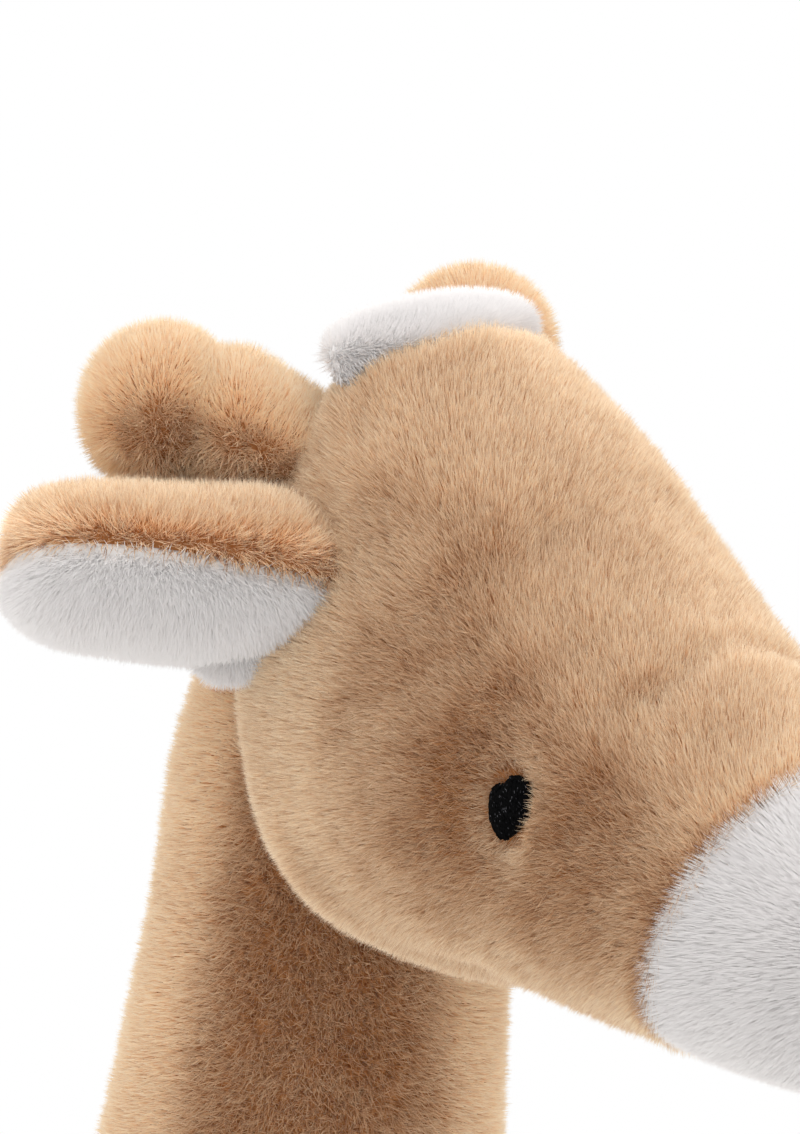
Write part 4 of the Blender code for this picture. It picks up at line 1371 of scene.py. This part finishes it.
label = meshObject("careLabel", outer + inner, labelFaces, satinMaterial())
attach(label, "trunk")
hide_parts("care_label")
hemPoints, hemFaces = [], []
hemCount = round(labelShape["width"] / labelShape["hemPitch"]) - 1
for line in (labelLength - labelShape["hemAt"], labelLength - labelShape["hemAt"] / 2):
    for step in range(hemCount):
        for over in (-mm / 10, mm / 10):
            place, outward = labelPoint((step + 1) / (hemCount + 1), line + over)
            hemPoints.append(place + outward * (labelShape["thickness"] / 2))
for first in (0, 2 * hemCount):
    for step in range(hemCount - 1):
        a = first + 2 * step
        hemFaces.append((a, a + 2, a + 3, a + 1))
whiteThread = threadMaterial("whiteThread", colour(206, 204, 200), colour(236, 234, 230), 0.6, 0.3)
hem = sewThreads("labelHem", hemPoints, hemFaces, rowThreads, {
    "Density": 0.0, "Seed": 5, "Length": 1.1 * mm, "Radius": 0.13 * mm, "Stray": 0.03, "Raise": 0.05 * mm,
    "Along": (0.0, 1.0, 0.0), "Finish": whiteThread})
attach(hem, "trunk")
print("care label sewn")


# mane: a puff on the crown and a strip down the neck

maneShape = {
    "crestWidth": 46 * mm, "crestHeight": 6.2 * mm, "crestDepth": 12 * mm,
    "crestSetBack": 0.85, "width": 13 * mm, "height": 5 * mm, "depth": 3 * mm,
}
crestShares = ((0.00, 0.00), (0.72, 0.75), (1.00, 1.00), (0.70, 0.75), (0.00, 0.00))
maneEndShares = ((0.00, 0.00), (0.65, 0.70))
maneFootShares = ((0.85, 0.70),)
maneTopDegrees = (58, 40, 20)


def stripRows(path, shares, width, height, depth):
    return [(place, width / 2 * wide, height * high, depth * high) for place, (wide, high) in zip(path, shares)]


crown = [row[0] + headUp * row[2] for row in headRows[headShape["crownRow"] + 1::-1]]
crown[0] = tapered(crown[0], crown[1], maneShape["crestSetBack"])
crown[1] = (crown[1] + crown[2]) / 2
crestRows = stripRows(crown, crestShares, maneShape["crestWidth"], maneShape["crestHeight"], maneShape["crestDepth"])
crestForm = Form(crestRows, -left, 48, 1.8 * mm).grow(-skinInset)
manePath = []
for degrees in maneTopDegrees:
    turn = math.radians(degrees)
    manePath.append(pivot + (neckBack * math.cos(turn) + neckUp * math.sin(turn)) * neckShape["topRadius"])
for middle, radius, _, _ in neckRows[len(neckShares) - 1:0:-1]:
    manePath.append(middle + neckBack * radius)
fullRows = len(manePath) - len(maneEndShares) - len(maneFootShares)
maneShares = maneEndShares + ((1.00, 1.00),) * fullRows + maneFootShares
maneForm = Form(stripRows(manePath, maneShares, maneShape["width"], maneShape["height"], maneShape["depth"]),
                -left, 32, 2.2 * mm)

crestFlow = evenFlow(crestForm, (0, 0, 0), 0.1)
crestFlow["cover"] = keepClear(crestForm.points, [headTree], 0.5 * mm, 1.5 * mm)
addSkin("crestSkin", crestForm, "white", "head", ("mane_crown",))
addPile("crestPile", crestForm, crestFlow, dict(whitePile, Seed=800, Density=26e6, Lean=0.5), "white", "head")
maneFlow = evenFlow(maneForm, neckUp * -0.5, 0.1, None)
maneFlow["cover"] = keepClear(maneForm.points, [neckTree], 0.5 * mm, 1.5 * mm)
addSkin("maneSkin", maneForm, "white", "trunk", ("mane_neck",))
addPile("manePile", maneForm, maneFlow, dict(whitePile, Density=8e6, Seed=820, Length=6.5 * mm), "white", "trunk")
print("mane made")


# tail

tailShape = {"rise": 26 * mm, "drop": 100 * mm, "radius": 4.5 * mm, "tuft": 40 * mm, "tuftRadius": 10 * mm,
             "rootShare": 0.46, "flexGap": 0.9 * mm}
tailBendShares = ((0.00, 0.00), (0.45, 0.03), (0.85, 0.25), (1.00, 0.75), (1.00, 1.50))
tuftShares = ((0.12, 0.75), (0.38, 1.00), (0.70, 0.85), (0.90, 0.50), (1.00, 0.00))
tailRoot = trunkMiddle + upward * tailShape["rise"] - ahead * (trunkShape["length"] * tailShape["rootShare"])
tailReach = trunkShape["length"] * (0.5 - tailShape["rootShare"]) + tailShape["radius"] + tailShape["flexGap"]


def tailRows():
    radius = tailShape["radius"]
    rows = domeRows(tailRoot, ahead, radius, 3)[::-1]
    for backShare, downShare in tailBendShares:
        middle = tailRoot - ahead * (tailReach * backShare) - upward * (tailReach * downShare)
        rows.append((middle, radius, radius, radius))
    line = tailRoot - ahead * tailReach
    rows.append((line - upward * (tailShape["drop"] - tailShape["tuft"]), radius, radius, radius))
    for along, wide in tuftShares:
        middle = line - upward * (tailShape["drop"] - tailShape["tuft"] * (1 - along))
        rows.append((middle, *[tailShape["tuftRadius"] * wide] * 3))
    return rows


tailForm = Form(tailRows(), left, 40, 1.8 * mm)
tuftRow = 3 + len(tailBendShares)
tailTan, tailWhite = tailForm.cut(0, tuftRow), tailForm.cut(tuftRow)
addSkin("tailSkin", tailTan, "tan", "tail", ("tail_cord",))
addSkin("tuftSkin", tailWhite, "white", "tail", ("tail_tuft",))
tailFlow = closeEnds(tailTan, evenFlow(tailTan, upward * -0.4, 0.12, None))
tailFlow["cover"] *= keepClear(tailTan.points, [trunkTree], 4.0 * mm, 2.0 * mm)
tailFlow["pile"] *= 0.6
tuftFlow = closeEnds(tailWhite, evenFlow(tailWhite, upward * -0.6, 0.1, None))
addPile("tailPile", tailTan, tailFlow, dict(headPile, Density=8e6, Seed=840), "tan", "tail")
addPile("tuftPile", tailWhite, tuftFlow, dict(whitePile, Density=9e6, Seed=860, Length=10 * mm), "white", "tail")
print("tail made")

bpy.data.objects.remove(strand, do_unlink=True)
print(pieceCount["pieces"], "piles of", pieceCount["faces"], "triangles in all")
